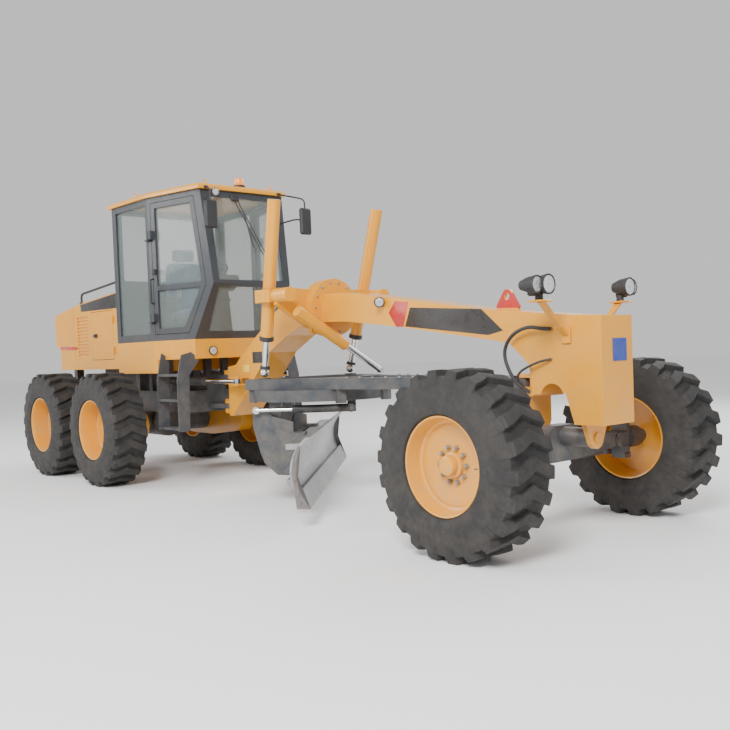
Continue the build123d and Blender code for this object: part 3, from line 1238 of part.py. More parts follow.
def make_moldboard():
    """Curved blade with its cutting edge in front and two slide rails behind."""
    back, front = blade_arc(BLADE_RADIUS), blade_arc(BLADE_RADIUS - BLADE_THICK)
    half = BLADE_LENGTH / 2
    edges = ThreePointArc(*[pt(n, -half, z) for n, z in back])
    inner = ThreePointArc(*[pt(n, -half, z) for n, z in reversed(front)])
    caps = (Line(edges @ 1, inner @ 0), Line(inner @ 1, edges @ 0))
    face = make_face([edges, caps[0], inner, caps[1]])
    board = extrude(face, amount=2 * half, dir=(0, 1, 0))
    base_n, z0 = front[0][0] - 2, front[0][1]
    toe = EDGE_SLOPE * (z0 - BLADE_BOTTOM_Z)
    edge = ((base_n, z0 + 45), (base_n + EDGE_THICK, z0 + 45),
            (base_n + EDGE_THICK + toe, BLADE_BOTTOM_Z), (base_n + toe, BLADE_BOTTOM_Z),
            (base_n - 4, z0))
    pieces = [board, plate_xz(edge, -half, half)]
    reach = half * RAIL_SHARE
    for low, high in rail_levels():
        zc = BLADE_BOTTOM_Z + BLADE_HEIGHT / 2 + 6
        nc = BLADE_RADIUS - 100.0
        zm = (low + high) / 2
        back_n = nc - math.sqrt((BLADE_RADIUS - BLADE_THICK / 2) ** 2 - (zm - zc) ** 2)
        pieces.append(box(RAIL_BACK_N, back_n, -reach, reach, low, high))
    return on_blade(join(pieces))


TILT_BARREL_LENGTH = 560.0
TILT_BARREL_RADIUS = 38.0


def make_tilt_barrel():
    """Barrel of the cutting-angle cylinder, pinned to the circle at its front end."""
    n1, s, z = TILT_BASE_N, TILT_CYLINDER_S, TILT_TOP_Z
    barrel = bar((n1 - TILT_BARREL_LENGTH, s, z), (n1, s, z), TILT_BARREL_RADIUS)
    barrel = barrel + bar((n1, s - 25, z), (n1, s + 25, z), TILT_BARREL_RADIUS + 4)
    bore = bar((n1 - TILT_BARREL_LENGTH - 5, s, z), (n1 - 60, s, z), 20 + PIN_FIT)
    pin = bar((n1, s - 60, z), (n1, s + 60, z), CYLINDER_PIN + PIN_FIT)
    return on_blade(barrel - bore - pin)


def make_tilt_rod():
    """Chrome rod with its eye beside the tilt bracket's top boss."""
    n0, s, z = TILT_TOP_N, TILT_CYLINDER_S, TILT_TOP_Z
    rod = bar((n0, s, z), (TILT_BASE_N - 300, s, z), 20)
    eye = bar((n0, s - 18, z), (n0, s + 18, z), 34)
    return on_blade(rod + eye)


def shift_point(length):
    """Point on the centre-shift cylinder's axis at a distance from its pivot."""
    y0, z0 = SHIFT_PIVOT
    y1, z1 = SHIFT_EYE
    span = math.hypot(y1 - y0, z1 - z0)
    return (SHIFT_X, y0 + (y1 - y0) * length / span, z0 + (z1 - z0) * length / span)


def make_shift_barrel():
    """Barrel of the centre-shift cylinder with the boss that turns on the saddle's pin."""
    y, z = SHIFT_PIVOT
    barrel = bar(shift_point(-SHIFT_TOP_LENGTH), shift_point(SHIFT_BOTTOM_LENGTH),
                 SHIFT_BARREL_RADIUS)
    rear = SHIFT_X - SHIFT_BOSS - 38
    barrel = barrel + bar((rear, y, z), (SHIFT_X - 20, y, z), 44)
    bore = bar(shift_point(-SHIFT_TOP_LENGTH + 60), shift_point(SHIFT_BOTTOM_LENGTH + 10),
               SHIFT_ROD_RADIUS + PIN_FIT)
    pin = bar((rear - 5, y, z), (SHIFT_X - SHIFT_BOSS, y, z), CYLINDER_PIN + PIN_FIT)
    return barrel - bore - pin


def make_shift_rod():
    """Rod of the centre-shift cylinder, its eye over the drawbar's top."""
    end = (SHIFT_X,) + SHIFT_EYE
    rod = bar(shift_point(-SHIFT_TOP_LENGTH + 150), end, SHIFT_ROD_RADIUS)
    return rod + bar((SHIFT_X - 28, SHIFT_EYE[0], SHIFT_EYE[1]),
                     (SHIFT_X + 28, SHIFT_EYE[0], SHIFT_EYE[1]), SHIFT_ROD_RADIUS - 1)


def steer_point(side, length):
    """Point on an articulation cylinder's axis at a distance from its base pin."""
    x0, y0 = STEER_BASE
    x1, y1 = STEER_EYE
    span = math.hypot(x1 - x0, y1 - y0)
    return (x0 + (x1 - x0) * length / span, side * (y0 + (y1 - y0) * length / span), STEER_Z)


def make_steer_barrel(side):
    """Barrel of an articulation cylinder, its flat rear eye on the frame's pin."""
    x, y = STEER_BASE
    barrel = bar(steer_point(side, 62), steer_point(side, 640), STEER_BARREL_RADIUS)
    barrel = barrel + bar(steer_point(side, 30), steer_point(side, 70), 24)
    barrel = barrel + bar((x, side * y, STEER_Z - 25), (x, side * y, STEER_Z + 25), 46)
    bore = bar(steer_point(side, 160), steer_point(side, 660), STEER_ROD_RADIUS + PIN_FIT)
    pin = bar((x, side * y, STEER_Z - 50), (x, side * y, STEER_Z + 50), CYLINDER_PIN + PIN_FIT)
    return barrel - bore - pin


def make_steer_rod(side):
    """Chrome rod with a flat eye between the goose neck's two lug plates."""
    x, y = STEER_EYE
    rod = bar(steer_point(side, 380), (x, side * y, STEER_Z), STEER_ROD_RADIUS)
    return rod + bar((x, side * y, STEER_Z - 25), (x, side * y, STEER_Z + 25), 44)


HEADLAMP_X = 4057.0
HEADLAMP_Y = 497.0
HEADLAMP_Z = 1857.0
HEADLAMP_RADIUS = 70.0


def make_headlamps():
    """Double round lamps on slanting arms bolted to the nose's sides."""
    sets = []
    for side in (-1, 1):
        y0 = side * (NOSE_HALF_WIDTH + SEAT_GAP)
        lo, hi = sorted((y0, y0 + side * 14))
        foot = box(NOSE_FOLD_X - 90, NOSE_FOLD_X - 10, *sorted((side * (BEAM_HALF_WIDTH + SEAT_GAP),
                   side * (BEAM_HALF_WIDTH + 16))), 1440, 1560)
        start = (NOSE_FOLD_X - 50, side * (BEAM_HALF_WIDTH + 14), 1490)
        end = (HEADLAMP_X - 10, side * HEADLAMP_Y, HEADLAMP_Z - 112)
        arm = extrude(Plane(Vector(*start), x_dir=(1, 0, 0), z_dir=Vector(*end) - Vector(*start))
                      * Rectangle(54, 20), amount=(Vector(*end) - Vector(*start)).length)
        shelf = box(HEADLAMP_X - 75, HEADLAMP_X + 65, side * HEADLAMP_Y - 70,
                    side * HEADLAMP_Y + 70, HEADLAMP_Z - 122, HEADLAMP_Z - 106)
        lamp = bar((HEADLAMP_X - 75, side * HEADLAMP_Y, HEADLAMP_Z),
                   (HEADLAMP_X + 85, side * HEADLAMP_Y, HEADLAMP_Z), HEADLAMP_RADIUS)
        lens = bar((HEADLAMP_X - 60, side * (HEADLAMP_Y + 85), HEADLAMP_Z),
                   (HEADLAMP_X + 50, side * (HEADLAMP_Y + 85), HEADLAMP_Z), HEADLAMP_RADIUS - 8)
        neck = box(HEADLAMP_X - 30, HEADLAMP_X + 30, side * HEADLAMP_Y - 30,
                   side * HEADLAMP_Y + 30, HEADLAMP_Z - 110, HEADLAMP_Z)
        sets.append(foot + arm + shelf + neck + lamp + lens)
    return Compound(children=sets)


def sided(name, maker):
    """The same piece on the right and on the left."""
    return [(f"{name}_{word}", lambda side=side: maker(side)) for word, side in SIDES]


def wheel_pieces():
    """Tyre and rim for every wheel."""
    tyre = make_tyre()
    rims = {offset: make_rim(offset) for offset in {offset for _, _, offset in WHEELS}}
    pieces = []
    for place, x, offset in WHEELS:
        for word, side in SIDES:
            pieces.append((f"tyre_{place}_{word}", place_on_wheel(tyre, x, side)))
            pieces.append((f"rim_{place}_{word}", place_on_wheel(rims[offset], x, side)))
    return pieces


SINGLE = (
    ("rear_frame", make_rear_frame), ("engine_block", make_engine), ("hood", make_hood),
    ("tail_hood", make_tail), ("cab_floor", make_cab_floor), ("cab_frame", make_cab_frame),
    ("cab_roof", make_cab_roof), ("cab_glass", make_cab_glass),
    ("operator_station", make_operator_station), ("ladders", make_ladders),
    ("roof_fittings", make_roof_fittings), ("front_frame", make_front_frame),
    ("saddle", make_saddle), ("headlamps", make_headlamps), ("front_axle", make_front_axle),
    ("tie_rod_head", make_tie_ball), ("tie_rod", make_tie_rod), ("swivel", make_swivel),
    ("drawbar", make_drawbar), ("circle", make_circle), ("tilt_bracket", make_tilt_bracket),
    ("moldboard", make_moldboard), ("tilt_barrel", make_tilt_barrel),
    ("tilt_rod", make_tilt_rod), ("shift_barrel", make_shift_barrel),
    ("shift_rod", make_shift_rod),
)
PAIRS = (
    ("cab_door", make_cab_door), ("door_glass", make_door_glass),
    ("engine_door", make_engine_door), ("tandem_case", make_tandem), ("lean_yoke", make_yoke),
    ("knuckle", make_knuckle), ("lift_gimbal", make_gimbal), ("lift_barrel", make_lift_barrel),
    ("lift_rod", make_lift_rod), ("steer_barrel", make_steer_barrel),
    ("steer_rod", make_steer_rod),
)


def write_parts():
    """Build every piece and write one STEP file for each."""
    os.makedirs("parts", exist_ok=True)
    for name, maker in SINGLE:
        export_step(maker(), f"parts/{name}.step")
    for name, maker in PAIRS:
        for node, made in sided(name, maker):
            export_step(made(), f"parts/{node}.step")
    for name, shape in wheel_pieces():
        export_step(shape, f"parts/{name}.step")


write_parts()
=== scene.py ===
import math
import bpy
import numpy as np
from mathutils import Matrix, Vector


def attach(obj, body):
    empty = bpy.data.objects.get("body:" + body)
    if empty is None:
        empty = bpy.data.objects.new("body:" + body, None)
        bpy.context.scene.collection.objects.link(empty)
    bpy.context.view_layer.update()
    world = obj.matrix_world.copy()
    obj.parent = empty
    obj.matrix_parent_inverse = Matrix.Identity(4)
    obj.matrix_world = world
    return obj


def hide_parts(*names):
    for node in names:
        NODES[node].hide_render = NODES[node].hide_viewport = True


bl_info = {
    "name": "Motor grader dressing",
    "version": (1, 0, 0),
    "blender": (4, 5, 0),
    "location": "3D View > Sidebar > Grader",
    "description": "Dresses the packed motor grader with tyres, lamps, trim, hoses and finishes",
    "category": "Object",
}

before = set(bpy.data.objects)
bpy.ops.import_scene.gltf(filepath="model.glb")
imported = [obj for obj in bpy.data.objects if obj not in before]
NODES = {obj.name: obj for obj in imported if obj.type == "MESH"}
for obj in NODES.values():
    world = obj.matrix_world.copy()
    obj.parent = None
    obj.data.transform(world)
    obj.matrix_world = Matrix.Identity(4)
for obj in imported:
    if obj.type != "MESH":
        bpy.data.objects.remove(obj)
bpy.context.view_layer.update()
SIDES = (("right", -1), ("left", 1))
WHEELS = (("front", 3.8, 0.040), ("middle", -1.7905, -0.060), ("rear", -3.3255, -0.060))
# Wheels: axle's middle over the ground and to the side, tyre's section and rim's well
WHEEL_Y, WHEEL_Z = 1.0835, 0.65
TYRE_RADIUS, TYRE_HALF = WHEEL_Z, 0.2225
TREAD_HALF, SHOULDER_HALF = 0.190, 0.192
BEAD_RADIUS, BEAD_HALF = 0.3462, 0.188
TANDEM_X, TANDEM_FACE = -2.558, 0.8302
# Blade: its middle on the x axis, half its length, and the ways across it and along it
BLADE_X, BLADE_HALF = 0.91, 1.725
BLADE_YAW = math.radians(45.6)
BLADE_N = (math.cos(BLADE_YAW), math.sin(BLADE_YAW))
BLADE_D = (-BLADE_N[1], BLADE_N[0])
# Faces of the body that trim sits on, half widths in y unless named otherwise
HOOD_SIDE, RAIL_Y = 0.5855, 0.545
BEAM_SIDE, NOSE_FRONT_X = 0.1802, 4.340
CAB_DOOR_FACE, ROOF_TOP_Z = 0.742, 3.309


# Shapes as arrays

def loft(rings):
    """Rings of points, ring by ring, joined by four-cornered faces round each pair of rings.
    Both ends close on the middle point of their ring, and the faces end up outward."""
    rings = np.asarray(rings, float)
    count, around = rings.shape[:2]
    here = np.arange(around)
    there = (here + 1) % around
    row = np.arange(count - 1)[:, None] * around
    faces = np.stack([row + here, row + there, row + there + around, row + here + around], -1)
    faces = faces.reshape(-1, 4).tolist()
    total, last = count * around, (count - 1) * around
    first_fan = np.stack([np.full(around, total), there, here], -1)
    last_fan = np.stack([np.full(around, total + 1), here + last, there + last], -1)
    faces += first_fan.tolist() + last_fan.tolist()
    points = np.vstack([rings.reshape(-1, 3), rings[0].mean(0), rings[-1].mean(0)])
    return outward(points, faces)


def outward(points, faces):
    """The faces turned so that they look out: the signed volume, which is a sixth of the sum of
    triple products over a fan of each face, is then positive."""
    quads = np.array([face if len(face) == 4 else face + face[-1:] for face in faces])
    a, b, c, d = (points[quads[:, k]] for k in range(4))
    products = np.einsum("ij,ij->i", a, np.cross(b, c)) + np.einsum("ij,ij->i", a, np.cross(c, d))
    if products.sum() < 0:
        faces = [face[::-1] for face in faces]
    return points, faces


def torus_grid(grid):
    """Rows and columns of points that close both ways, such as a tyre's section carried round."""
    rows, cols = grid.shape[:2]
    i = np.arange(rows)[:, None]
    j = np.arange(cols)[None, :]
    quads = np.stack([i * cols + j, i * cols + (j + 1) % cols,
                      ((i + 1) % rows) * cols + (j + 1) % cols, ((i + 1) % rows) * cols + j], -1)
    return outward(grid.reshape(-1, 3), quads.reshape(-1, 4).tolist())


def circle(radius, count):
    """Unit directions round a circle, times the radius, as (x, y) pairs."""
    turn = np.linspace(0, 2 * np.pi, count, endpoint=False)
    return radius * np.stack([np.cos(turn), np.sin(turn)], -1)


def basis(way, up=(0, 0, 1)):
    """Three square directions, the last one along the given way."""
    z = np.array(way, float)
    z /= np.linalg.norm(z)
    x = np.cross(up, z)
    if np.linalg.norm(x) < 1e-6:
        x = np.cross((1, 0, 0), z)
    x /= np.linalg.norm(x)
    return np.stack([x, np.cross(z, x), z])


def turned(profile, start, way, count=48):
    """A profile of (radius, distance) pairs carried round the line from start along way."""
    axes = basis(way)
    profile = np.asarray(profile, float)
    ring = circle(1.0, count)
    flat = ring[None] * profile[:, :1, None]
    along = np.broadcast_to(profile[:, 1, None, None], flat.shape[:2] + (1,))
    return loft(np.concatenate([flat, along], -1) @ axes + np.array(start, float))


def rod(start, end, radius, count=20, bevel=0.15):
    """A round bar with slightly rounded ends between two points."""
    start, end = np.array(start, float), np.array(end, float)
    span = np.linalg.norm(end - start)
    cut = min(radius * bevel, span / 4)
    profile = ((radius - cut, 0), (radius, cut), (radius, span - cut), (radius - cut, span))
    return turned(profile, start, end - start, count)


def block(low, high, edge=0.004):
    """A box as four eight-cornered rings, chamfered on its upright edges, top and bottom."""
    low, high = np.minimum(low, high).astype(float), np.maximum(low, high).astype(float)
    edge = min(edge, *(high - low) / 3)
    middle = (low[:2] + high[:2]) / 2
    half = (high[:2] - low[:2]) / 2

    def ring(inset, z):
        hx, hy = half - inset
        xy = np.array([(hx - edge, -hy), (hx, -hy + edge), (hx, hy - edge), (hx - edge, hy),
                       (-hx + edge, hy), (-hx, hy - edge), (-hx, -hy + edge), (-hx + edge, -hy)])
        return np.column_stack([xy + middle, np.full(8, z)])

    rings = [ring(edge, low[2]), ring(0, low[2] + edge), ring(0, high[2] - edge), ring(edge, high[2])]
    return loft(rings)


def slab(outline, way, thick, edge=0.002):
    """A flat plate: an outline of points in space carried along way, its rim a little chamfered."""
    outline = np.asarray(outline, float)
    way = np.array(way, float) / np.linalg.norm(way)
    middle = outline.mean(0)
    inward = outline + (middle - outline) * np.minimum(
        1.0, edge / np.maximum(np.linalg.norm(middle - outline, axis=1, keepdims=True), 1e-9))
    edge = min(edge, thick / 3)
    return loft([inward, outline + way * edge, outline + way * (thick - edge),
                 inward + way * thick])


def tube(path, radius, count=14):
    """A ring carried along a path, square to the path's own direction at each of its points."""
    path = np.asarray(path, float)
    forward = np.gradient(path, axis=0)
    forward /= np.linalg.norm(forward, axis=1, keepdims=True)
    side = np.cross(forward, (0.31, 0.17, 0.93))
    side /= np.linalg.norm(side, axis=1, keepdims=True)
    other = np.cross(forward, side)
    ring = circle(radius, count)
    rings = path[:, None] + side[:, None] * ring[None, :, :1] + other[:, None] * ring[None, :, 1:]
    return loft(rings)


def rounded(points, radius=0.05, steps=6):
    """A path with each inner corner replaced by a short parabola of about that radius."""
    points = np.asarray(points, float)
    out = [points[:1]]
    share = np.linspace(0, 1, steps)[:, None]
    for before, corner, after in zip(points[:-2], points[1:-1], points[2:]):
        near = min(radius, np.linalg.norm(before - corner) / 2, np.linalg.norm(after - corner) / 2)
        a = corner + (before - corner) / np.linalg.norm(before - corner) * near
        b = corner + (after - corner) / np.linalg.norm(after - corner) * near
        out.append((1 - share) ** 2 * a + 2 * share * (1 - share) * corner + share ** 2 * b)
    return np.vstack(out + [points[-1:]])


def bolt(at, way, radius=0.012, height=0.008):
    """A six-sided bolt head with a chamfered crown."""
    axes = basis(way)
    hexagon = circle(1.0, 6)
    rings = [np.column_stack([hexagon * r, np.full(6, z)])
             for r, z in ((radius, -0.002), (radius, height * 0.75), (radius * 0.8, height))]
    return loft(np.array(rings) @ axes + np.array(at, float))


def hoop(centre, axes, radius, count, thick, around):
    """A round bar of radius thick bent into a ring that lies in the plane of the first two axes:
    a small circle carried round a large one."""
    large, small = circle(radius, count), circle(thick, around)
    flat = (1 + small[None, :, :1] / radius) * large[:, None]
    lift = np.broadcast_to(small[None, :, 1:], flat.shape[:2] + (1,))
    return torus_grid(np.concatenate([flat, lift], -1) @ axes + centre)


def gather(shapes):
    """Several shapes as one list of points and one list of faces."""
    points, faces, start = [], [], 0
    for own, corners in shapes:
        points.append(own)
        faces += [[index + start for index in corner] for corner in corners]
        start += len(own)
    return np.vstack(points), faces


def make_piece(name, shapes, finish, body, smooth=35):
    """One object from array shapes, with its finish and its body."""
    points, faces = gather(shapes)
    mesh = bpy.data.meshes.new(name)
    mesh.from_pydata(points.tolist(), [], faces)
    mesh.materials.append(FINISHES[finish])
    mesh.shade_smooth()
    mesh.set_sharp_from_angle(angle=math.radians(smooth))
    mesh.update()
    piece = bpy.data.objects.new(name, mesh)
    bpy.context.scene.collection.objects.link(piece)
    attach(piece, body)
    return piece


# Finishes

FINISHES = {}


def new_group(name, outputs):
    """An empty node group with Scale as its input and the named outputs."""
    group = bpy.data.node_groups.new(name, "ShaderNodeTree")
    socket = group.interface.new_socket("Scale", in_out="INPUT", socket_type="NodeSocketFloat")
    socket.default_value = 1.0
    for label, kind in outputs:
        group.interface.new_socket(label, in_out="OUTPUT", socket_type=kind)
    return group, group.nodes.new("NodeGroupInput"), group.nodes.new("NodeGroupOutput")


def noise(tree, scale, detail, where, roughness=0.6):
    """A noise texture node read at the given coordinates."""
    node = tree.nodes.new("ShaderNodeTexNoise")
    node.inputs["Scale"].default_value = scale
    node.inputs["Detail"].default_value = detail
    node.inputs["Roughness"].default_value = roughness
    tree.links.new(where, node.inputs["Vector"])
    return node


def remap(tree, value, low, high, to_low=0.0, to_high=1.0):
    """A value carried in a straight line from one range to another, and held at its ends."""
    node = tree.nodes.new("ShaderNodeMapRange")
    for key, number in (("From Min", low), ("From Max", high),
                        ("To Min", to_low), ("To Max", to_high)):
        node.inputs[key].default_value = number
    tree.links.new(value, node.inputs["Value"])
    return node.outputs["Result"]


def scaled_place(group, given, stretch=(1, 1, 1)):
    """The object's own coordinates times the group's Scale and a stretch along each axis."""
    place = group.nodes.new("ShaderNodeTexCoord")
    first = group.nodes.new("ShaderNodeVectorMath")
    first.operation = "SCALE"
    group.links.new(place.outputs["Object"], first.inputs[0])
    group.links.new(given.outputs["Scale"], first.inputs["Scale"])
    second = group.nodes.new("ShaderNodeVectorMath")
    second.operation = "MULTIPLY"
    second.inputs[1].default_value = stretch
    group.links.new(first.outputs[0], second.inputs[0])
    return second.outputs[0]


def weather_group():
    """Weathering: a cloudy tint, dust that thickens towards the ground, and fine scratches."""
    group, given, out = new_group("Weathering", (
        ("Cloud", "NodeSocketFloat"), ("Dust", "NodeSocketFloat"), ("Scratch", "NodeSocketFloat")))
    cloud = noise(group, 1.1, 4, scaled_place(group, given))
    group.links.new(remap(group, cloud.outputs["Fac"], 0.3, 0.7), out.inputs["Cloud"])
    place = group.nodes.new("ShaderNodeTexCoord")
    parts = group.nodes.new("ShaderNodeSeparateXYZ")
    group.links.new(place.outputs["Object"], parts.inputs[0])
    height = remap(group, parts.outputs["Z"], 0.2, 2.0, 0.55, 0.0)
    patch = noise(group, 5.0, 8, scaled_place(group, given), 0.7)
    mix = group.nodes.new("ShaderNodeMath")
    mix.operation = "MULTIPLY"
    group.links.new(height, mix.inputs[0])
    group.links.new(remap(group, patch.outputs["Fac"], 0.35, 0.75), mix.inputs[1])
    group.links.new(mix.outputs[0], out.inputs["Dust"])
    scratch = noise(group, 30.0, 6, scaled_place(group, given, (1.0, 1.0, 7.0)), 0.75)
    group.links.new(remap(group, scratch.outputs["Fac"], 0.66, 0.74), out.inputs["Scratch"])
    return group


def grain_group():
    """Grain: fine and coarse unevenness of a sprayed, cast or moulded skin."""
    group, given, out = new_group("Grain", (("Height", "NodeSocketFloat"),
                                            ("Patch", "NodeSocketFloat")))
    fine = noise(group, 220.0, 3, scaled_place(group, given))
    coarse = noise(group, 14.0, 4, scaled_place(group, given))
    add = group.nodes.new("ShaderNodeMath")
    add.operation = "ADD"
    group.links.new(fine.outputs["Fac"], add.inputs[0])
    group.links.new(coarse.outputs["Fac"], add.inputs[1])
    group.links.new(add.outputs[0], out.inputs["Height"])
    group.links.new(remap(group, coarse.outputs["Fac"], 0.35, 0.65), out.inputs["Patch"])
    return group


def blend_colours(tree, factor, first, second):
    """A mix by the factor of a first colour, plain or from a socket, and a second plain one."""
    node = tree.nodes.new("ShaderNodeMix")
    node.data_type = "RGBA"
    if isinstance(first, (tuple, list)):
        node.inputs["A"].default_value = (*first, 1.0)
    else:
        tree.links.new(first, node.inputs["A"])
    node.inputs["B"].default_value = (*second, 1.0)
    tree.links.new(factor, node.inputs["Factor"])
    return node.outputs["Result"]


def finish(name, colour, shade, dust, rough, metal=0.0, bump=0.1, coat=0.0, scale=1.0,
           scratch=None):
    """A weathered finish: two tints of one colour in clouds, dust and worn scratches over them,
    roughness that follows the clouds, and a bump from the grain."""
    made = bpy.data.materials.new(name)
    made.use_nodes = True
    tree = made.node_tree
    shader = tree.nodes["Principled BSDF"]
    weather = tree.nodes.new("ShaderNodeGroup")
    weather.node_tree = bpy.data.node_groups["Weathering"]
    weather.inputs["Scale"].default_value = scale
    grain = tree.nodes.new("ShaderNodeGroup")
    grain.node_tree = bpy.data.node_groups["Grain"]
    grain.inputs["Scale"].default_value = scale
    tint = blend_colours(tree, weather.outputs["Cloud"], colour, shade)
    if scratch:
        tint = blend_colours(tree, weather.outputs["Scratch"], tint, scratch)
    tint = blend_colours(tree, weather.outputs["Dust"], tint, dust)
    tree.links.new(tint, shader.inputs["Base Color"])
    spread = remap(tree, grain.outputs["Patch"], 0, 1, rough - 0.06, rough + 0.08)
    tree.links.new(spread, shader.inputs["Roughness"])
    shader.inputs["Metallic"].default_value = metal
    shader.inputs["Coat Weight"].default_value = coat
    shader.inputs["Coat Roughness"].default_value = 0.12
    bumps = tree.nodes.new("ShaderNodeBump")
    bumps.inputs["Strength"].default_value = bump
    bumps.inputs["Distance"].default_value = 0.002
    tree.links.new(grain.outputs["Height"], bumps.inputs["Height"])
    tree.links.new(bumps.outputs["Normal"], shader.inputs["Normal"])
    FINISHES[name] = made
    return made


def glass_finish(name, colour, rough, see=0.75):
    """Tinted glass: a thin smooth skin that lets most light through, with faint dust patches."""
    made = finish(name, colour, colour, (0.55, 0.53, 0.48), rough, bump=0.01)
    shader = made.node_tree.nodes["Principled BSDF"]
    shader.inputs["Alpha"].default_value = 1.0 - see
    shader.inputs["Specular IOR Level"].default_value = 0.8
    return made


def glow_finish(name, colour, glow):
    """A lamp's lens: a clear coloured body with a faint glow of its own."""
    made = finish(name, colour, colour, (0.6, 0.55, 0.5), 0.12, bump=0.02, coat=0.6)
    shader = made.node_tree.nodes["Principled BSDF"]
    shader.inputs["Emission Color"].default_value = (*colour, 1.0)
    shader.inputs["Emission Strength"].default_value = glow
    return made


def fabric_finish(name, colour, shade):
    """Woven seat cloth: the sum of two crossed wave bands as fine threads, soft and rough."""
    made = finish(name, colour, shade, (0.3, 0.28, 0.25), 0.85, bump=0.05)
    tree = made.node_tree
    shader = tree.nodes["Principled BSDF"]
    place = tree.nodes.new("ShaderNodeTexCoord")
    total = None
    for direction in ("X", "Y"):
        wave = tree.nodes.new("ShaderNodeTexWave")
        wave.bands_direction = direction
        wave.inputs["Scale"].default_value = 120.0
        tree.links.new(place.outputs["Object"], wave.inputs["Vector"])
        if total is None:
            total = wave.outputs["Fac"]
        else:
            add = tree.nodes.new("ShaderNodeMath")
            tree.links.new(total, add.inputs[0])
            tree.links.new(wave.outputs["Fac"], add.inputs[1])
            total = add.outputs[0]
    weave = tree.nodes.new("ShaderNodeBump")
    weave.inputs["Strength"].default_value = 0.35
    weave.inputs["Distance"].default_value = 0.001
    tree.links.new(total, weave.inputs["Height"])
    tree.links.new(weave.outputs["Normal"], shader.inputs["Normal"])
    shader.inputs["Sheen Weight"].default_value = 0.4
    return made


# User settings

class GraderSizes(bpy.types.PropertyGroup):
    """Sizes of the dressing pieces that a user may change"""
    lug_count: bpy.props.IntProperty(
        name="Tyre lugs", description="Number of lugs round each tyre", default=22, min=12, max=40)
    lug_depth: bpy.props.FloatProperty(
        name="Lug depth", description="Height of a tyre lug over the carcass", default=0.042,
        unit="LENGTH", subtype="DISTANCE")
    wheel_nuts: bpy.props.IntProperty(
        name="Wheel nuts", description="Nuts on each wheel", default=10, min=4, max=20)
    rail_radius: bpy.props.FloatProperty(
        name="Handrail radius", description="Radius of the handrails' tubes", default=0.015,
        unit="LENGTH", subtype="DISTANCE")
    bolt_spacing: bpy.props.FloatProperty(
        name="Blade bolt spacing", description="Distance between the blade edge's bolts",
        default=0.152, unit="LENGTH", subtype="DISTANCE")


class GraderColours(bpy.types.PropertyGroup):
    """Colours of the dressing that a user may change"""
    paint: bpy.props.FloatVectorProperty(
        name="Body paint", description="Main paint of the machine", subtype="COLOR",
        default=(0.84, 0.35, 0.002), min=0, max=1)
    dark: bpy.props.FloatVectorProperty(
        name="Frame paint", description="Dark paint of the drawbar, circle and axles",
        subtype="COLOR", default=(0.032, 0.040, 0.050), min=0, max=1)
    cloth: bpy.props.FloatVectorProperty(
        name="Seat cloth", description="Cloth of the operator's seat", subtype="COLOR",
        default=(0.02, 0.07, 0.22), min=0, max=1)
    band: bpy.props.FloatVectorProperty(
        name="Hood band", description="Blank dark band on the hood", subtype="COLOR",
        default=(0.015, 0.014, 0.014), min=0, max=1)
    chevron: bpy.props.FloatVectorProperty(
        name="Chevron", description="Red chevron on the beam", subtype="COLOR",
        default=(0.55, 0.02, 0.015), min=0, max=1)


def sizes():
    """The user's sizes."""
    return bpy.context.scene.grader_sizes


def colours():
    """The user's colours."""
    return bpy.context.scene.grader_colours


# Pieces

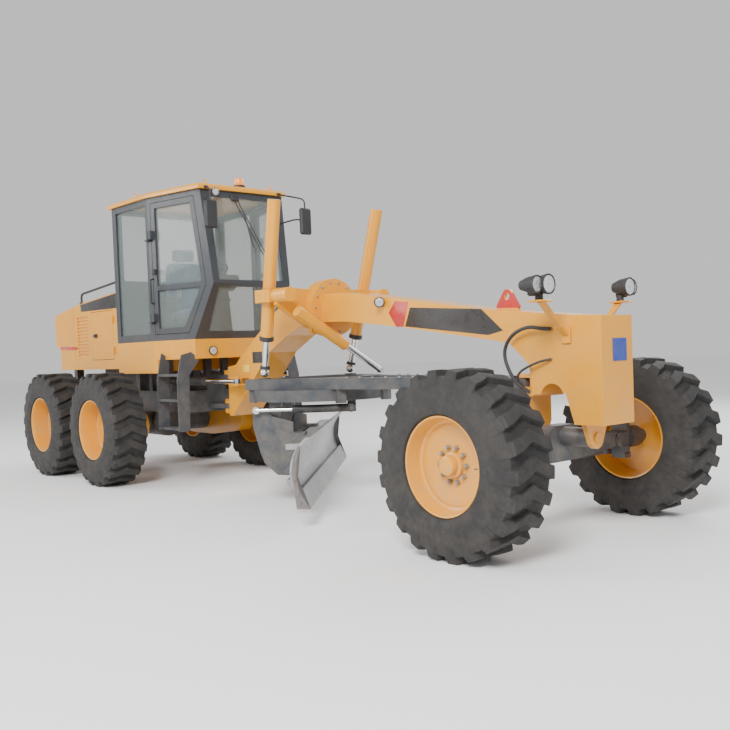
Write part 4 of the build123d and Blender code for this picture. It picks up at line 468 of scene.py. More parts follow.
def make_finishes():
    """All finishes, from the user's colours."""
    weather_group()
    grain_group()
    tint = colours()
    paint, dark = tuple(tint.paint), tuple(tint.dark)
    deeper = tuple(0.86 * part for part in paint)
    lighter = tuple(min(1.0, 1.4 * part) for part in dark)
    mud = (0.36, 0.28, 0.19)
    finish("yellow_paint", paint, deeper, mud, 0.34, bump=0.06, coat=0.35,
           scratch=(0.82, 0.36, 0.04))
    finish("dark_paint", dark, lighter, mud, 0.45, bump=0.15, coat=0.15, scratch=(0.12, 0.12, 0.12))
    finish("cab_paint", (0.022, 0.026, 0.032), (0.035, 0.04, 0.046), mud, 0.40, bump=0.08, coat=0.2)
    finish("cast_iron", (0.07, 0.07, 0.075), (0.10, 0.10, 0.10), mud, 0.6, metal=0.4, bump=0.5)
    finish("black_plastic", (0.018, 0.018, 0.02), (0.03, 0.03, 0.032), (0.2, 0.18, 0.15), 0.55,
           bump=0.3, scale=2.0)
    finish("tyre_rubber", (0.014, 0.014, 0.015), (0.024, 0.023, 0.022), (0.085, 0.072, 0.06), 0.78,
           bump=0.5, scale=1.6)
    finish("blade_steel", (0.50, 0.51, 0.52), (0.34, 0.34, 0.35), (0.30, 0.26, 0.22), 0.36,
           metal=0.85, bump=0.25, scale=1.4, scratch=(0.75, 0.75, 0.76))
    finish("edge_steel", (0.30, 0.30, 0.31), (0.16, 0.15, 0.145), (0.28, 0.2, 0.14), 0.42,
           metal=0.8, bump=0.35, scale=2.0, scratch=(0.7, 0.7, 0.7))
    finish("rod_chrome", (0.78, 0.79, 0.80), (0.70, 0.71, 0.72), (0.4, 0.36, 0.3), 0.14,
           metal=1.0, bump=0.02)
    finish("bolt_zinc", (0.42, 0.41, 0.38), (0.28, 0.27, 0.25), mud, 0.42, metal=0.8, bump=0.2)
    finish("band_black", tuple(tint.band), (0.03, 0.026, 0.024), (0.1, 0.09, 0.08), 0.30, bump=0.03)
    finish("chevron_red", tuple(tint.chevron), (0.42, 0.015, 0.012), mud, 0.32, bump=0.03)
    finish("strip_red", (0.60, 0.02, 0.02), (0.40, 0.02, 0.02), (0.35, 0.2, 0.15), 0.28, bump=0.12,
           coat=0.5, scale=2.5)
    finish("label_yellow", (0.90, 0.62, 0.05), (0.80, 0.52, 0.04), (0.45, 0.4, 0.3), 0.38, bump=0.03)
    finish("plate_blue", (0.012, 0.05, 0.36), (0.01, 0.04, 0.30), (0.3, 0.3, 0.3), 0.3, bump=0.03)
    finish("lamp_chrome", (0.85, 0.85, 0.86), (0.75, 0.75, 0.76), (0.5, 0.48, 0.42), 0.10,
           metal=1.0, bump=0.02)
    glass_finish("cab_glass", (0.30, 0.36, 0.34), 0.06)
    glass_finish("lamp_glass", (0.85, 0.88, 0.88), 0.05, 0.8)
    glow_finish("amber_lens", (0.95, 0.30, 0.01), 0.25)
    fabric_finish("seat_cloth", tuple(tint.cloth), tuple(0.6 * part for part in tint.cloth))


NODE_FINISH = {
    "yellow_paint": ("hood", "tail_hood", "cab_floor", "cab_roof", "front_frame", "saddle"),
    "dark_paint": ("rear_frame", "ladders", "front_axle", "tie_rod_head", "tie_rod", "swivel",
                   "drawbar", "circle", "tilt_bracket"),
    "cab_paint": ("cab_frame",),
    "cast_iron": ("engine_block",),
    "cab_glass": ("cab_glass",),
    "black_plastic": ("operator_station", "roof_fittings", "headlamps", "tilt_barrel"),
    "blade_steel": ("moldboard",),
    "rod_chrome": ("tilt_rod", "shift_rod"),
}
PAIR_FINISH = {
    "yellow_paint": ("engine_door", "tandem_case", "lift_gimbal", "lift_barrel"),
    "cab_paint": ("cab_door",),
    "cab_glass": ("door_glass",),
    "dark_paint": ("lean_yoke", "knuckle"),
    "black_plastic": ("steer_barrel",),
    "rod_chrome": ("lift_rod", "steer_rod"),
}


def dress_nodes():
    """Puts a finish on every CAD node."""
    chosen = {"shift_barrel": "yellow_paint"}
    for name, nodes in NODE_FINISH.items():
        chosen.update({node: name for node in nodes})
    for name, nodes in PAIR_FINISH.items():
        chosen.update({f"{node}_{word}": name for node in nodes for word, _ in SIDES})
    for place, _, _ in WHEELS:
        for word, _ in SIDES:
            chosen[f"tyre_{place}_{word}"] = "tyre_rubber"
            chosen[f"rim_{place}_{word}"] = "yellow_paint"
    for node, name in chosen.items():
        for place in NODES[node].material_slots:
            place.material = FINISHES[name]


def tread_grid(x, side):
    """A tyre as a closed grid. Its section runs from one bead over the tread to the other and
    back inside. On the tread the radius grows by the lug depth where the lug wave is high: a
    wave round the tyre, shifted in a V across the width and rippled, and steep at its sides."""
    lugs, depth = sizes().lug_count, sizes().lug_depth
    points_per_lug, bulge = 26, 0.62
    crown_drop, wall_foot, foot_share = 0.006, 0.356, 0.75
    carcass = TYRE_RADIUS - depth
    turn = np.linspace(0, 2 * np.pi, lugs * points_per_lug, endpoint=False)
    share = np.linspace(0, 1, 12)
    wall_a = SHOULDER_HALF + (TYRE_HALF - SHOULDER_HALF) * np.sin(share * np.pi * bulge) \
        / np.sin(np.pi * bulge)
    wall_a = np.where(share > foot_share, wall_a - (share - foot_share) * 0.055, wall_a)
    wall_r = (carcass - crown_drop) - share * (carcass - crown_drop - wall_foot)
    tread_a = np.linspace(-TREAD_HALF, TREAD_HALF, 43)
    tread_r = carcass - crown_drop * np.abs(tread_a / TREAD_HALF) ** 3
    axial = np.concatenate([-wall_a[::-1], tread_a, wall_a, [BEAD_HALF, 0.0, -BEAD_HALF]])
    base = np.concatenate([wall_r[::-1], tread_r, wall_r,
                           [BEAD_RADIUS, BEAD_RADIUS - 0.0004, BEAD_RADIUS]])
    lug_reach, ripple_width, lug_turn = 0.184, 0.095, 0.40
    reach = np.abs(axial) / lug_reach
    ripple = 0.05 * np.abs(((axial / ripple_width) % 2.0) - 1.0)
    shift = lug_turn / 2 - lug_turn * np.minimum(reach, 1.15) + ripple
    phase = (turn[None, :] * lugs / (2 * np.pi) - shift[:, None] + 0.5) % 1.0
    from_middle = 0.5 - np.abs(phase - 0.5)
    gap_share, flank_share = 0.215, 0.045
    wave = np.clip((from_middle - gap_share) / flank_share, 0, 1)
    wave = wave * wave * (3 - 2 * wave)
    wall_start, shoulder_height, lowest_lug = 1.03, 0.55, 0.52
    fade = np.clip((1.22 - reach) / 0.18, 0, 1) * (base > lowest_lug)
    rise = (TYRE_RADIUS - base[:, None]) * wave * fade[:, None]
    radius = base[:, None] + rise * np.where(reach[:, None] < wall_start, 1.0, shoulder_height)
    radius = np.minimum(radius, TYRE_RADIUS)
    grid = np.stack([radius * np.cos(turn)[None, :] + x,
                     np.broadcast_to(axial[:, None] * side, radius.shape) + side * WHEEL_Y,
                     radius * np.sin(turn)[None, :] + WHEEL_Z], -1)
    return torus_grid(grid)


def make_tyres():
    """Six tyres with V-shaped lugs, each in place of its CAD tyre."""
    for place, x, _ in WHEELS:
        for word, side in SIDES:
            tyre = make_piece(f"tread_{place}_{word}", [tread_grid(x, side)], "tyre_rubber",
                              f"wheel_{place}_{word}", 40)
            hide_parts(f"tyre_{place}_{word}")


# The disc's face over the disc's middle, and the radius of the ring of nuts
RIM_DISC, NUT_CIRCLE = 0.026, 0.122


def rim_shape(x, side, offset):
    """A rim turned about its axle: curled flanges, a stepped barrel, a dished disc and a hub."""
    profile = np.array([
        (0.000, offset + 0.112), (0.052, offset + 0.112), (0.064, offset + 0.106),
        (0.070, offset + 0.092), (0.070, offset + 0.060), (0.088, offset + 0.052),
        (0.094, offset + RIM_DISC), (0.150, offset + 0.025), (0.205, offset + 0.030),
        (0.262, offset + 0.046), (0.288, offset + 0.040), (0.306, offset + 0.052),
        (0.316, 0.120), (0.326, 0.178), (0.331, 0.192), (0.342, 0.1955), (0.345, 0.190),
        (0.345, -0.190), (0.342, -0.1955), (0.331, -0.192), (0.322, -0.170), (0.314, -0.09),
        (0.306, offset - 0.004), (0.250, offset + 0.004), (0.0561, offset + 0.001),
        (0.0561, offset + 0.080), (0.0, offset + 0.080)])
    start = (x, side * WHEEL_Y, WHEEL_Z)
    return turned(profile, start, (0, side, 0), 72)


def make_rims():
    """Six rims with their nuts and valves, each in place of its CAD rim."""
    for place, x, offset in WHEELS:
        for word, side in SIDES:
            rim = make_piece(f"wheel_disc_{place}_{word}", [rim_shape(x, side, offset)],
                             "yellow_paint", f"wheel_{place}_{word}", 32)
            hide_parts(f"rim_{place}_{word}")
            face = side * (WHEEL_Y + offset + RIM_DISC)
            ring = circle(NUT_CIRCLE, sizes().wheel_nuts)
            nuts = [bolt((x + a, face, WHEEL_Z + b), (0, side, 0), 0.019, 0.024) for a, b in ring]
            nuts += [rod((x + a, face, WHEEL_Z + b), (x + a, face + side * 0.034, WHEEL_Z + b),
                         0.009, 10) for a, b in ring]
            valve = rounded([(x + 0.285, face + side * 0.004, WHEEL_Z),
                             (x + 0.285, face + side * 0.05, WHEEL_Z),
                             (x + 0.262, face + side * 0.09, WHEEL_Z)], 0.02)
            make_piece(f"wheel_nuts_{place}_{word}", nuts + [tube(valve, 0.006, 8)], "bolt_zinc",
                       f"wheel_{place}_{word}")


def on_blade(n, s, z):
    """A point given across the blade, along it and up, in the machine's frame."""
    return (BLADE_X + n * BLADE_N[0] + s * BLADE_D[0], n * BLADE_N[1] + s * BLADE_D[1], z)


def blade_way(n, z):
    """A direction in the plane square to the blade."""
    return (n * BLADE_N[0], n * BLADE_N[1], z)


def make_blade_trim():
    """Bolt heads along the cutting edge, and the end plates with their bolts."""
    slope = 0.62
    places = np.arange(-BLADE_HALF + 0.075, BLADE_HALF - 0.05, sizes().bolt_spacing)
    lean = blade_way(1.0, slope)
    heads = [bolt(on_blade(-0.072 + 0.019 + slope * 0.075, s, 0.235), lean, 0.016, 0.007)
             for s in places]
    make_piece("edge_bolts", heads, "bolt_zinc", "moldboard")
    ends = []
    for side in (-1, 1):
        s = side * BLADE_HALF
        face = [on_blade(n, s, z) for n, z in (
            (-0.052, 0.172), (0.062, 0.172), (0.004, 0.262), (-0.034, 0.345), (-0.052, 0.47),
            (-0.034, 0.60), (-0.004, 0.680), (-0.024, 0.695), (-0.066, 0.60), (-0.086, 0.47),
            (-0.068, 0.335))]
        way = np.array((BLADE_D[0], BLADE_D[1], 0)) * side
        ends.append(slab(face, way, 0.012, 0.002))
        for n, z in ((-0.018, 0.215), (-0.034, 0.29), (-0.062, 0.40), (-0.062, 0.54)):
            ends.append(bolt(on_blade(n, s + side * 0.012, z), way, 0.013, 0.009))
    make_piece("blade_ends", ends, "edge_steel", "moldboard")


def lamp(at, way, radius, depth):
    """The three shapes of a round lamp, turned about its way: the bowl with its bezel, the
    reflector and the lens."""
    at, way = np.array(at, float), np.array(way, float)
    bowl = [(0.02, -depth), (radius * 0.55, -depth * 0.95), (radius * 0.9, -depth * 0.5),
            (radius, -0.012), (radius * 1.04, -0.008), (radius * 1.04, 0.010),
            (radius * 0.94, 0.012), (radius * 0.9, 0.002), (0.01, -0.004)]
    reflector = [(0.008, 0.0), (radius * 0.5, 0.002), (radius * 0.86, 0.006), (radius * 0.88, 0.0)]
    lens = [(radius * 0.9, 0.006), (radius * 0.8, 0.014), (radius * 0.4, 0.022), (0.004, 0.024)]
    return (turned(bowl, at, way, 36), turned(reflector, at + way * 0.001, way, 32),
            turned(lens, at, way, 32))


def lamp_pieces(name, body, lamps, feet=(), bowl_look=("black_plastic", "trim_black"),
                ends=("bowl", "reflector", "lens")):
    """The three pieces of one lamp or of a group of lamps. The bowls' piece holds their feet too,
    and is the one returned."""
    bowls, reflectors, lenses = (list(shapes) for shapes in zip(*lamps))
    groups = (bowls + list(feet), reflectors, lenses)
    looks = (bowl_look, ("lamp_chrome", "rod_chrome"), ("lamp_glass", "window_glass"))
    made = [make_piece(f"{name}_{end}", shapes, look, body)
            for end, shapes, (look, slot) in zip(ends, groups, looks)]
    return made[0]


def make_lamps():
    """Headlamp pairs on their arms and the beacon, each in place of its CAD piece, and the small
    lamp on the cab's skirt."""
    lamps, feet, arms = [], [], []
    for _, side in SIDES:
        lamps += [lamp((x, side * y, 1.857), (1, 0, 0), radius, 0.14)
                  for x, y, radius in ((4.128, 0.497, 0.069), (4.095, 0.582, 0.061))]
        feet.append(block((3.99, side * 0.515, 1.78), (4.08, side * 0.565, 1.90), 0.01))
        feet.append(rod((4.047, side * 0.497, 1.735), (4.047, side * 0.497, 1.80), 0.028))
        low, high = np.array((4.038, side * 0.194, 1.49)), np.array((4.047, side * 0.497, 1.745))
        wide = np.array((0.027, 0, 0))
        face = [low - wide, low + wide, high + wide, high - wide]
        arms.append(slab(face, (0, -side * 0.64, 0.77), 0.020))
        arms.append(block((3.985, side * 0.43, 1.736), (4.12, side * 0.565, 1.750), 0.004))
        arms.append(block((4.00, side * 0.1805, 1.44), (4.077, side * 0.196, 1.56), 0.004))
    bowls = lamp_pieces("headlamp", "front", lamps, feet, ends=("bowls", "reflectors", "lenses"))
    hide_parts("headlamps")
    make_piece("headlamp_arms", arms, "yellow_paint", "front")
    lamp_pieces("skirt_lamp", "rear", [lamp((-0.560, -0.363, 1.509), (1, 0, 0), 0.048, 0.03)])
    foot = (-0.49, 0.02, 3.3105)
    base = turned([(0.068, 0.0), (0.070, 0.004), (0.070, 0.024), (0.060, 0.030), (0.01, 0.031)],
                  foot, (0, 0, 1), 32)
    dome = turned([(0.054, 0.028), (0.056, 0.034), (0.054, 0.080), (0.046, 0.104),
                   (0.022, 0.116), (0.003, 0.118)], foot, (0, 0, 1), 32)
    beacon = make_piece("beacon_base", [base], "black_plastic", "rear")
    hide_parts("roof_fittings")
    make_piece("beacon_dome", [dome], "amber_lens", "rear")


def make_hood_trim():
    """Blank dark band, red reflector strip, latches and the two handrails of the hood."""
    radius = sizes().rail_radius
    for word, side in SIDES:
        y = side * HOOD_SIDE
        band = [(-3.543, y, 2.105), (-3.561, y, 2.199), (-2.279, y, 2.290), (-2.219, y, 2.090)]
        make_piece(f"hood_band_{word}", [slab(band, (0, side, 0), 0.002)], "band_black", "rear")
        strip = [(-4.290, y, 1.615), (-4.290, y, 1.655), (-3.720, y, 1.640), (-3.720, y, 1.600)]
        make_piece(f"reflector_strip_{word}", [slab(strip, (0, side, 0), 0.003)], "strip_red",
                   "rear")
        handle = [block((-3.15, y, 1.742), (-3.06, y + side * 0.018, 1.792), 0.006),
                  rod((-3.135, y + side * 0.026, 1.767), (-3.075, y + side * 0.026, 1.767), 0.007)]
        make_piece(f"door_latch_{word}", handle, "black_plastic", f"engine_door_{word}")
        rail_y = side * RAIL_Y
        rail = rounded([(-3.60, rail_y, 2.215), (-3.60, rail_y, 2.345),
                        (-2.40, rail_y, 2.430), (-2.40, rail_y, 2.29)], 0.06)
        feet = [turned([(0.03, -0.01), (0.03, 0.006), (0.018, 0.012)], (x, rail_y, z),
                       (0, 0, 1), 16) for x, z in ((-3.60, 2.222), (-2.40, 2.308))]
        make_piece(f"hood_rail_{word}", [tube(rail, radius)] + feet, "black_plastic", "rear")


BEAM_DECALS = (
    # name, thickness, rim's chamfer, finish, slot, outline's (x, z) points; the chevron's and the
    # band's are measured from the tandem's pivot
    ("beam_chevron", 0.0015, 0.001, "chevron_red", "machine_yellow",
     tuple((x + TANDEM_X, z) for x, z in (
         (4.695, 1.769), (4.780, 1.866), (4.950, 1.850), (4.881, 1.640), (4.792, 1.640)))),
    ("beam_band", 0.0015, 0.001, "band_black", "machine_yellow",
     tuple((x + TANDEM_X, z) for x, z in (
         (4.900, 1.640), (4.970, 1.800), (5.782, 1.740), (6.000, 1.560), (5.850, 1.530)))),
    ("neck_plate", 0.003, 0.002, "black_plastic", "trim_black",
     ((-0.059, 1.355), (0.123, 1.355), (0.123, 1.475), (-0.059, 1.475))),
    ("neck_label", 0.0015, 0.001, "label_yellow", "machine_yellow",
     ((-0.267, 1.261), (-0.134, 1.261), (-0.134, 1.338), (-0.267, 1.338))),
)


def make_decals():
    """Blank nose badge, red chevron with a dark blank band on the beam, and blank labels."""
    badge = [(NOSE_FRONT_X, y, z) for y, z in (
        (-0.061, 1.305), (0.109, 1.305), (0.109, 1.467), (-0.061, 1.467))]
    make_piece("nose_badge", [slab(badge, (1, 0, 0), 0.004)], "plate_blue", "front")
    for word, side in SIDES:
        for name, thick, edge, look, slot, outline in BEAM_DECALS:
            shape = [(x, side * BEAM_SIDE, z) for x, z in outline]
            make_piece(f"{name}_{word}", [slab(shape, (0, side, 0), thick, edge)], look, "front")


def crowned(low, high, crown, steps=14):
    """A closed cushion: a ball whose coordinates are raised to a small power, which squares it
    into a rounded box, puffed out most at the middle of its top and bottom and pulled in between
    the corners along its seam."""
    low, high = np.array(low, float), np.array(high, float)
    middle, half = (low + high) / 2, (high - low) / 2
    up = np.linspace(-np.pi / 2, np.pi / 2, steps)
    turn = np.linspace(0, 2 * np.pi, 4 * steps, endpoint=False)
    power = 0.32

    def bent(value):
        return np.sign(value) * np.abs(value) ** power

    x = bent(np.cos(up))[:, None] * bent(np.cos(turn))[None]
    y = bent(np.cos(up))[:, None] * bent(np.sin(turn))[None]
    z = np.broadcast_to(bent(np.sin(up))[:, None], x.shape)
    puff = 1 + crown * (1 - x ** 2) * (1 - y ** 2)
    pinch = 1 - 0.02 * (1 - np.abs(z)) * (np.cos(4 * turn)[None] < 0)
    rings = np.stack([middle[0] + half[0] * x * pinch, middle[1] + half[1] * y * pinch,
                      middle[2] + half[2] * z * puff], -1)
    return loft(rings[1:-1])


def make_seat():
    """Operator's seat with crowned cushions, its foot, column, dash, steering wheel and arm
    rests in place of the CAD ones, and the levers with their knobs."""
    station = [block((-1.67, -0.17, 1.640), (-1.35, 0.17, 1.66), 0.006),
               turned([(0.12, 0.0), (0.12, 0.03), (0.07, 0.06), (0.07, 0.20), (0.14, 0.235)],
                      (-1.51, 0, 1.66), (0, 0, 1), 32),
               block((-1.72, -0.235, 1.868), (-1.27, 0.235, 1.912), 0.02)]
    column = [(-1.0, -0.10, 1.642), (-0.86, -0.10, 1.642), (-0.94, -0.10, 2.25),
              (-1.01, -0.10, 2.23)]
    station.append(slab(column, (0, 1, 0), 0.20, 0.02))
    dash = [(-1.06, -0.25, 2.21), (-0.89, -0.25, 2.28), (-0.93, -0.25, 2.39), (-1.08, -0.25, 2.30)]
    station.append(slab(dash, (0, 1, 0), 0.50, 0.015))
    centre, tilt = np.array((-1.09, 0.0, 2.44)), np.array((-0.5, 0, 0.866))
    axes = basis(tilt)
    station.append(hoop(centre, axes, 0.172, 48, 0.013, 12))
    for turn in (0.5, 2.64, 4.71):
        way = (math.cos(turn) * axes[0] + math.sin(turn) * axes[1])
        station.append(rod(centre - tilt * 0.01, centre + way * 0.165, 0.010, 10))
    station.append(rod(centre - tilt * 0.20, centre + tilt * 0.012, 0.030, 20))
    for side in (-1, 1):
        station.append(block((-1.66, side * 0.29, 2.10), (-1.28, side * 0.36, 2.15), 0.02))
        station.append(rod((-1.60, side * 0.325, 1.90), (-1.60, side * 0.325, 2.11), 0.022))
        station.append(rod((-1.60, side * 0.325, 1.90), (-1.60, side * 0.18, 1.89), 0.022))
    frame_piece = make_piece("operator_frame", station, "black_plastic", "rear")
    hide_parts("operator_station")
    knobs = []
    for side in (-1, 1):
        for x in np.linspace(-1.37, -1.31, 2):
            foot = (x, side * 0.325, 2.145)
            top = (x + 0.015, side * 0.325, 2.26)
            knobs.append(rod(foot, top, 0.005, 8))
            knobs.append(turned([(0.004, 0.0), (0.013, 0.006), (0.016, 0.020), (0.010, 0.032),
                                 (0.002, 0.035)], top, (0.13, 0, 1), 14))
    make_piece("lever_knobs", knobs, "bolt_zinc", "rear")
    for name, low, high in (("seat_cushion", (-1.745, -0.25, 1.905), (-1.235, 0.25, 2.015)),
                            ("seat_back", (-1.840, -0.235, 2.03), (-1.715, 0.235, 2.595)),
                            ("seat_head", (-1.830, -0.14, 2.62), (-1.735, 0.14, 2.76))):
        cushion = make_piece(name, [crowned(low, high, 0.18 if "cushion" in name else 0.02)],
                             "seat_cloth", "rear", 60)
    pillar = [rod((-1.80, side * 0.08, 2.55), (-1.79, side * 0.08, 2.66), 0.008, 10)
              for side in (-1, 1)]
    pillar.append(slab([(-1.85, -0.06, 1.90), (-1.70, -0.06, 1.90), (-1.80, -0.06, 2.30),
                        (-1.86, -0.06, 2.30)], (0, 1, 0), 0.12, 0.01))
    make_piece("seat_posts", pillar, "bolt_zinc", "rear")


# Axes of a ring that stands up along the machine: forward, up, and across
UPRIGHT = np.array([(1.0, 0.0, 0.0), (0.0, 0.0, 1.0), (0.0, 1.0, 0.0)])


def make_cab_trim():
    """Mirrors on their twin arms, door handles, wipers, roof eyes and the roof's work lamp."""
    for word, side in SIDES:
        y0, y1 = side * 0.538, side * 0.688
        shell = block((-0.099, y0, 2.777), (-0.046, y1, 3.073), 0.035)
        lens = slab([(-0.0995, y0 + side * 0.014, 2.80), (-0.0995, y1 - side * 0.014, 2.80),
                     (-0.0995, y1 - side * 0.014, 3.05), (-0.0995, y0 + side * 0.014, 3.05)],
                    (-1, 0, 0), 0.003)
        arms = [tube(rounded([(-0.375, side * 0.47, z), (-0.16, side * 0.56, z + bend),
                              (-0.075, side * 0.613, z + bend - 0.03),
                              (-0.075, side * 0.613, end)], 0.06), 0.009, 10)
                for z, bend, end in ((3.262, -0.06, 3.06), (2.93, 0.03, 2.94))]
        arms.append(block((-0.392, side * 0.45, 3.252), (-0.366, side * 0.50, 3.28), 0.004))
        make_piece(f"mirror_shell_{word}", [shell] + arms, "black_plastic", "rear")
        make_piece(f"mirror_glass_{word}", [lens], "lamp_chrome", "rear")
        face = side * CAB_DOOR_FACE
        hand = [tube(rounded([(-1.135, face, 2.06), (-1.135, face + side * 0.045, 2.06),
                              (-1.135, face + side * 0.045, 2.33), (-1.135, face, 2.33)], 0.03),
                     0.010, 10),
                block((-1.165, side * 0.72, 2.385), (-1.105, side * 0.752, 2.445), 0.006)]
        make_piece(f"door_handle_{word}", hand, "black_plastic", f"cab_door_{word}")
    wipers = []
    for y0, y1 in ((-0.13, 0.15), (-0.09, 0.19)):
        wipers.append(rod((-0.385, y0, 3.17), (-0.255, y1, 2.55), 0.006, 8))
    wipers.append(rod((-0.272, 0.03, 2.64), (-0.340, -0.02, 2.98), 0.009, 8))
    wipers.append(block((-0.40, -0.16, 3.14), (-0.372, -0.06, 3.21), 0.008))
    make_piece("screen_wipers", wipers, "black_plastic", "rear")
    eyes = []
    for x, y in ((-0.47, -0.42), (-1.57, -0.70), (-1.95, 0.62), (-0.47, 0.42)):
        eyes.append(turned([(0.022, 0.0), (0.022, 0.008), (0.010, 0.012), (0.010, 0.020)],
                           (x, y, ROOF_TOP_Z), (0, 0, 1), 14))
        eyes.append(hoop((x, y, ROOF_TOP_Z + 0.036), UPRIGHT, 0.024, 20, 0.006, 8))
    make_piece("roof_eyes", eyes, "yellow_paint", "rear")
    foot = block((-0.378, -0.40, 3.20), (-0.350, -0.36, 3.27), 0.004)
    lamp_pieces("roof_lamp", "rear", [lamp((-0.345, -0.38, 3.215), (1, 0, 0), 0.038, 0.03)],
                [foot], ("bolt_zinc", "frame_grey"))


def make_beam_trim():
    """Red skin of the lifting eye, the drum's ring of bolts, and the beam's work lamp. The eye's
    outline is met by rays from its hole's middle, so that hole and outline make one grid."""
    x, half_thick, hole_z = 3.352, 0.0158, 1.831
    way = circle(1.0, 48)
    centre = np.array((x, hole_z))
    hole = centre + 0.0275 * way
    corner = np.array([(x - 0.122, 1.745), (x + 0.122, 1.735), (x + 0.040, 1.866),
                       (x + 0.021, 1.885), (x - 0.021, 1.885), (x - 0.040, 1.866)])
    edge, start = np.roll(corner, -1, axis=0) - corner, corner - centre
    cross = way[:, None, 0] * edge[None, :, 1] - way[:, None, 1] * edge[None, :, 0]
    cross = np.where(np.abs(cross) < 1e-9, 1e-9, cross)
    far = (start[None, :, 0] * edge[None, :, 1] - start[None, :, 1] * edge[None, :, 0]) / cross
    along = (start[None, :, 0] * way[:, None, 1] - start[None, :, 1] * way[:, None, 0]) / cross
    far = np.where((along >= -1e-6) & (along <= 1 + 1e-6) & (far > 0), far, np.inf).min(1)
    outer = centre + way * far[:, None]

    rings = [np.column_stack([flat[:, 0], np.full(len(flat), depth), flat[:, 1]])
             for flat, depth in ((outer, -half_thick), (outer, half_thick),
                                 (hole, half_thick), (hole, -half_thick))]
    make_piece("lifting_eye_paint", [torus_grid(np.array(rings))], "chevron_red", "front")
    drum_face_x, drum_z = 1.162, 1.88
    bolts = [bolt((drum_face_x, a, drum_z + b), (1, 0, 0), 0.013, 0.010)
             for a, b in circle(0.245, 14) if not (abs(a) < 0.19 and -0.20 < b < 0.12)]
    make_piece("drum_bolts", bolts, "bolt_zinc", "front")
    foot = rod((2.045, -0.175, 1.84), (2.045, -0.225, 1.86), 0.014, 12)
    lamp_pieces("beam_lamp", "front",
                [lamp((2.075, -0.235, 1.868), (0.9, -0.43, 0.0), 0.045, 0.05)], [foot])


HOSES = (
    # name, body, length, diameter, route's points
    ("nose_hose", "front", 0.872, 0.028,
     ((3.90, -0.185, 1.553), (3.86, -0.235, 1.555), (3.73, -0.245, 1.580), (3.57, -0.245, 1.520),
      (3.49, -0.245, 1.390), (3.54, -0.235, 1.230), (3.62, -0.200, 1.110), (3.66, -0.150, 1.085))),
    ("nose_hose_thin", "front", 0.476, 0.018,
     ((3.90, -0.185, 1.330), (3.86, -0.220, 1.325), (3.74, -0.228, 1.290), (3.60, -0.225, 1.225),
      (3.60, -0.190, 1.130), (3.63, -0.140, 1.100))),
)


def make_hoses():
    """Two hydraulic hoses from the nose's side down to the axle's bracket, each a round bar
    along a smooth curve through its route's points."""
    for name, body, length, diameter, route in HOSES:
        curve = bpy.data.curves.new(name, "CURVE")
        curve.dimensions = "3D"
        spline = curve.splines.new("NURBS")
        spline.points.add(len(route) - 1)
        spline.points.foreach_set("co", np.column_stack([route, np.ones(len(route))]).ravel())
        spline.order_u = 3
        spline.use_endpoint_u = True
        spline.resolution_u = 12
        curve.bevel_depth = diameter / 2
        curve.bevel_resolution = 4
        curve.use_fill_caps = True
        curve.materials.append(FINISHES["black_plastic"])
        hose = bpy.data.objects.new(name, curve)
        bpy.context.scene.collection.objects.link(hose)
        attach(hose, body)


def make_cylinder_trim():
    """Gland nuts on the lift cylinders' barrels, and a short collar on each of their rods."""
    for word, side in SIDES:
        top = np.array((0.885, side * 0.59, 1.997))
        eye = np.array((0.700, side * 0.548, 1.262))
        way = (eye - top) / np.linalg.norm(eye - top)
        gland = turned([(0.045, -0.012), (0.070, -0.008), (0.070, 0.032), (0.052, 0.040),
                        (0.034, 0.044)], top + way * 0.40, way, 32)
        make_piece(f"lift_gland_{word}", [gland], "black_plastic", f"lift_barrel_{word}")
        collar = turned([(0.034, 0.0), (0.046, 0.003), (0.046, 0.014), (0.052, 0.018),
                         (0.052, 0.028), (0.034, 0.032)], eye - way * 0.072, way, 28)
        make_piece(f"lift_boot_{word}", [collar], "black_plastic", f"lift_rod_{word}")


def make_fasteners():
    """Rows of bolts on the drawbar's arms, and rings of bolts on the tandem cases' sides."""
    drawbar = [bolt((x, side * (0.135 + (2.9 - x) * 0.160), 1.200), (0, 0, 1), 0.014, 0.010)
               for side in (-1, 1) for x in np.linspace(1.7, 2.75, 8)]
    make_piece("drawbar_bolts", drawbar, "bolt_zinc", "drawbar")
    for word, side in SIDES:
        covers = [bolt((TANDEM_X + a, side * TANDEM_FACE, WHEEL_Z + b), (0, side, 0), 0.012, 0.009)
                  for a, b in circle(0.118, 10)]
        make_piece(f"tandem_bolts_{word}", covers, "bolt_zinc", f"tandem_{word}")


# The photograph's camera: turns in degrees, place in metres, lens in millimetres
CAMERA_YAW, CAMERA_PITCH, CAMERA_ROLL = 49.37, -2.21, -2.16
CAMERA_PLACE = (7.9273, -5.4588, 1.4444)
CAMERA_LENS, CAMERA_SHIFT = 43.50, (0.0003, 0.0269)


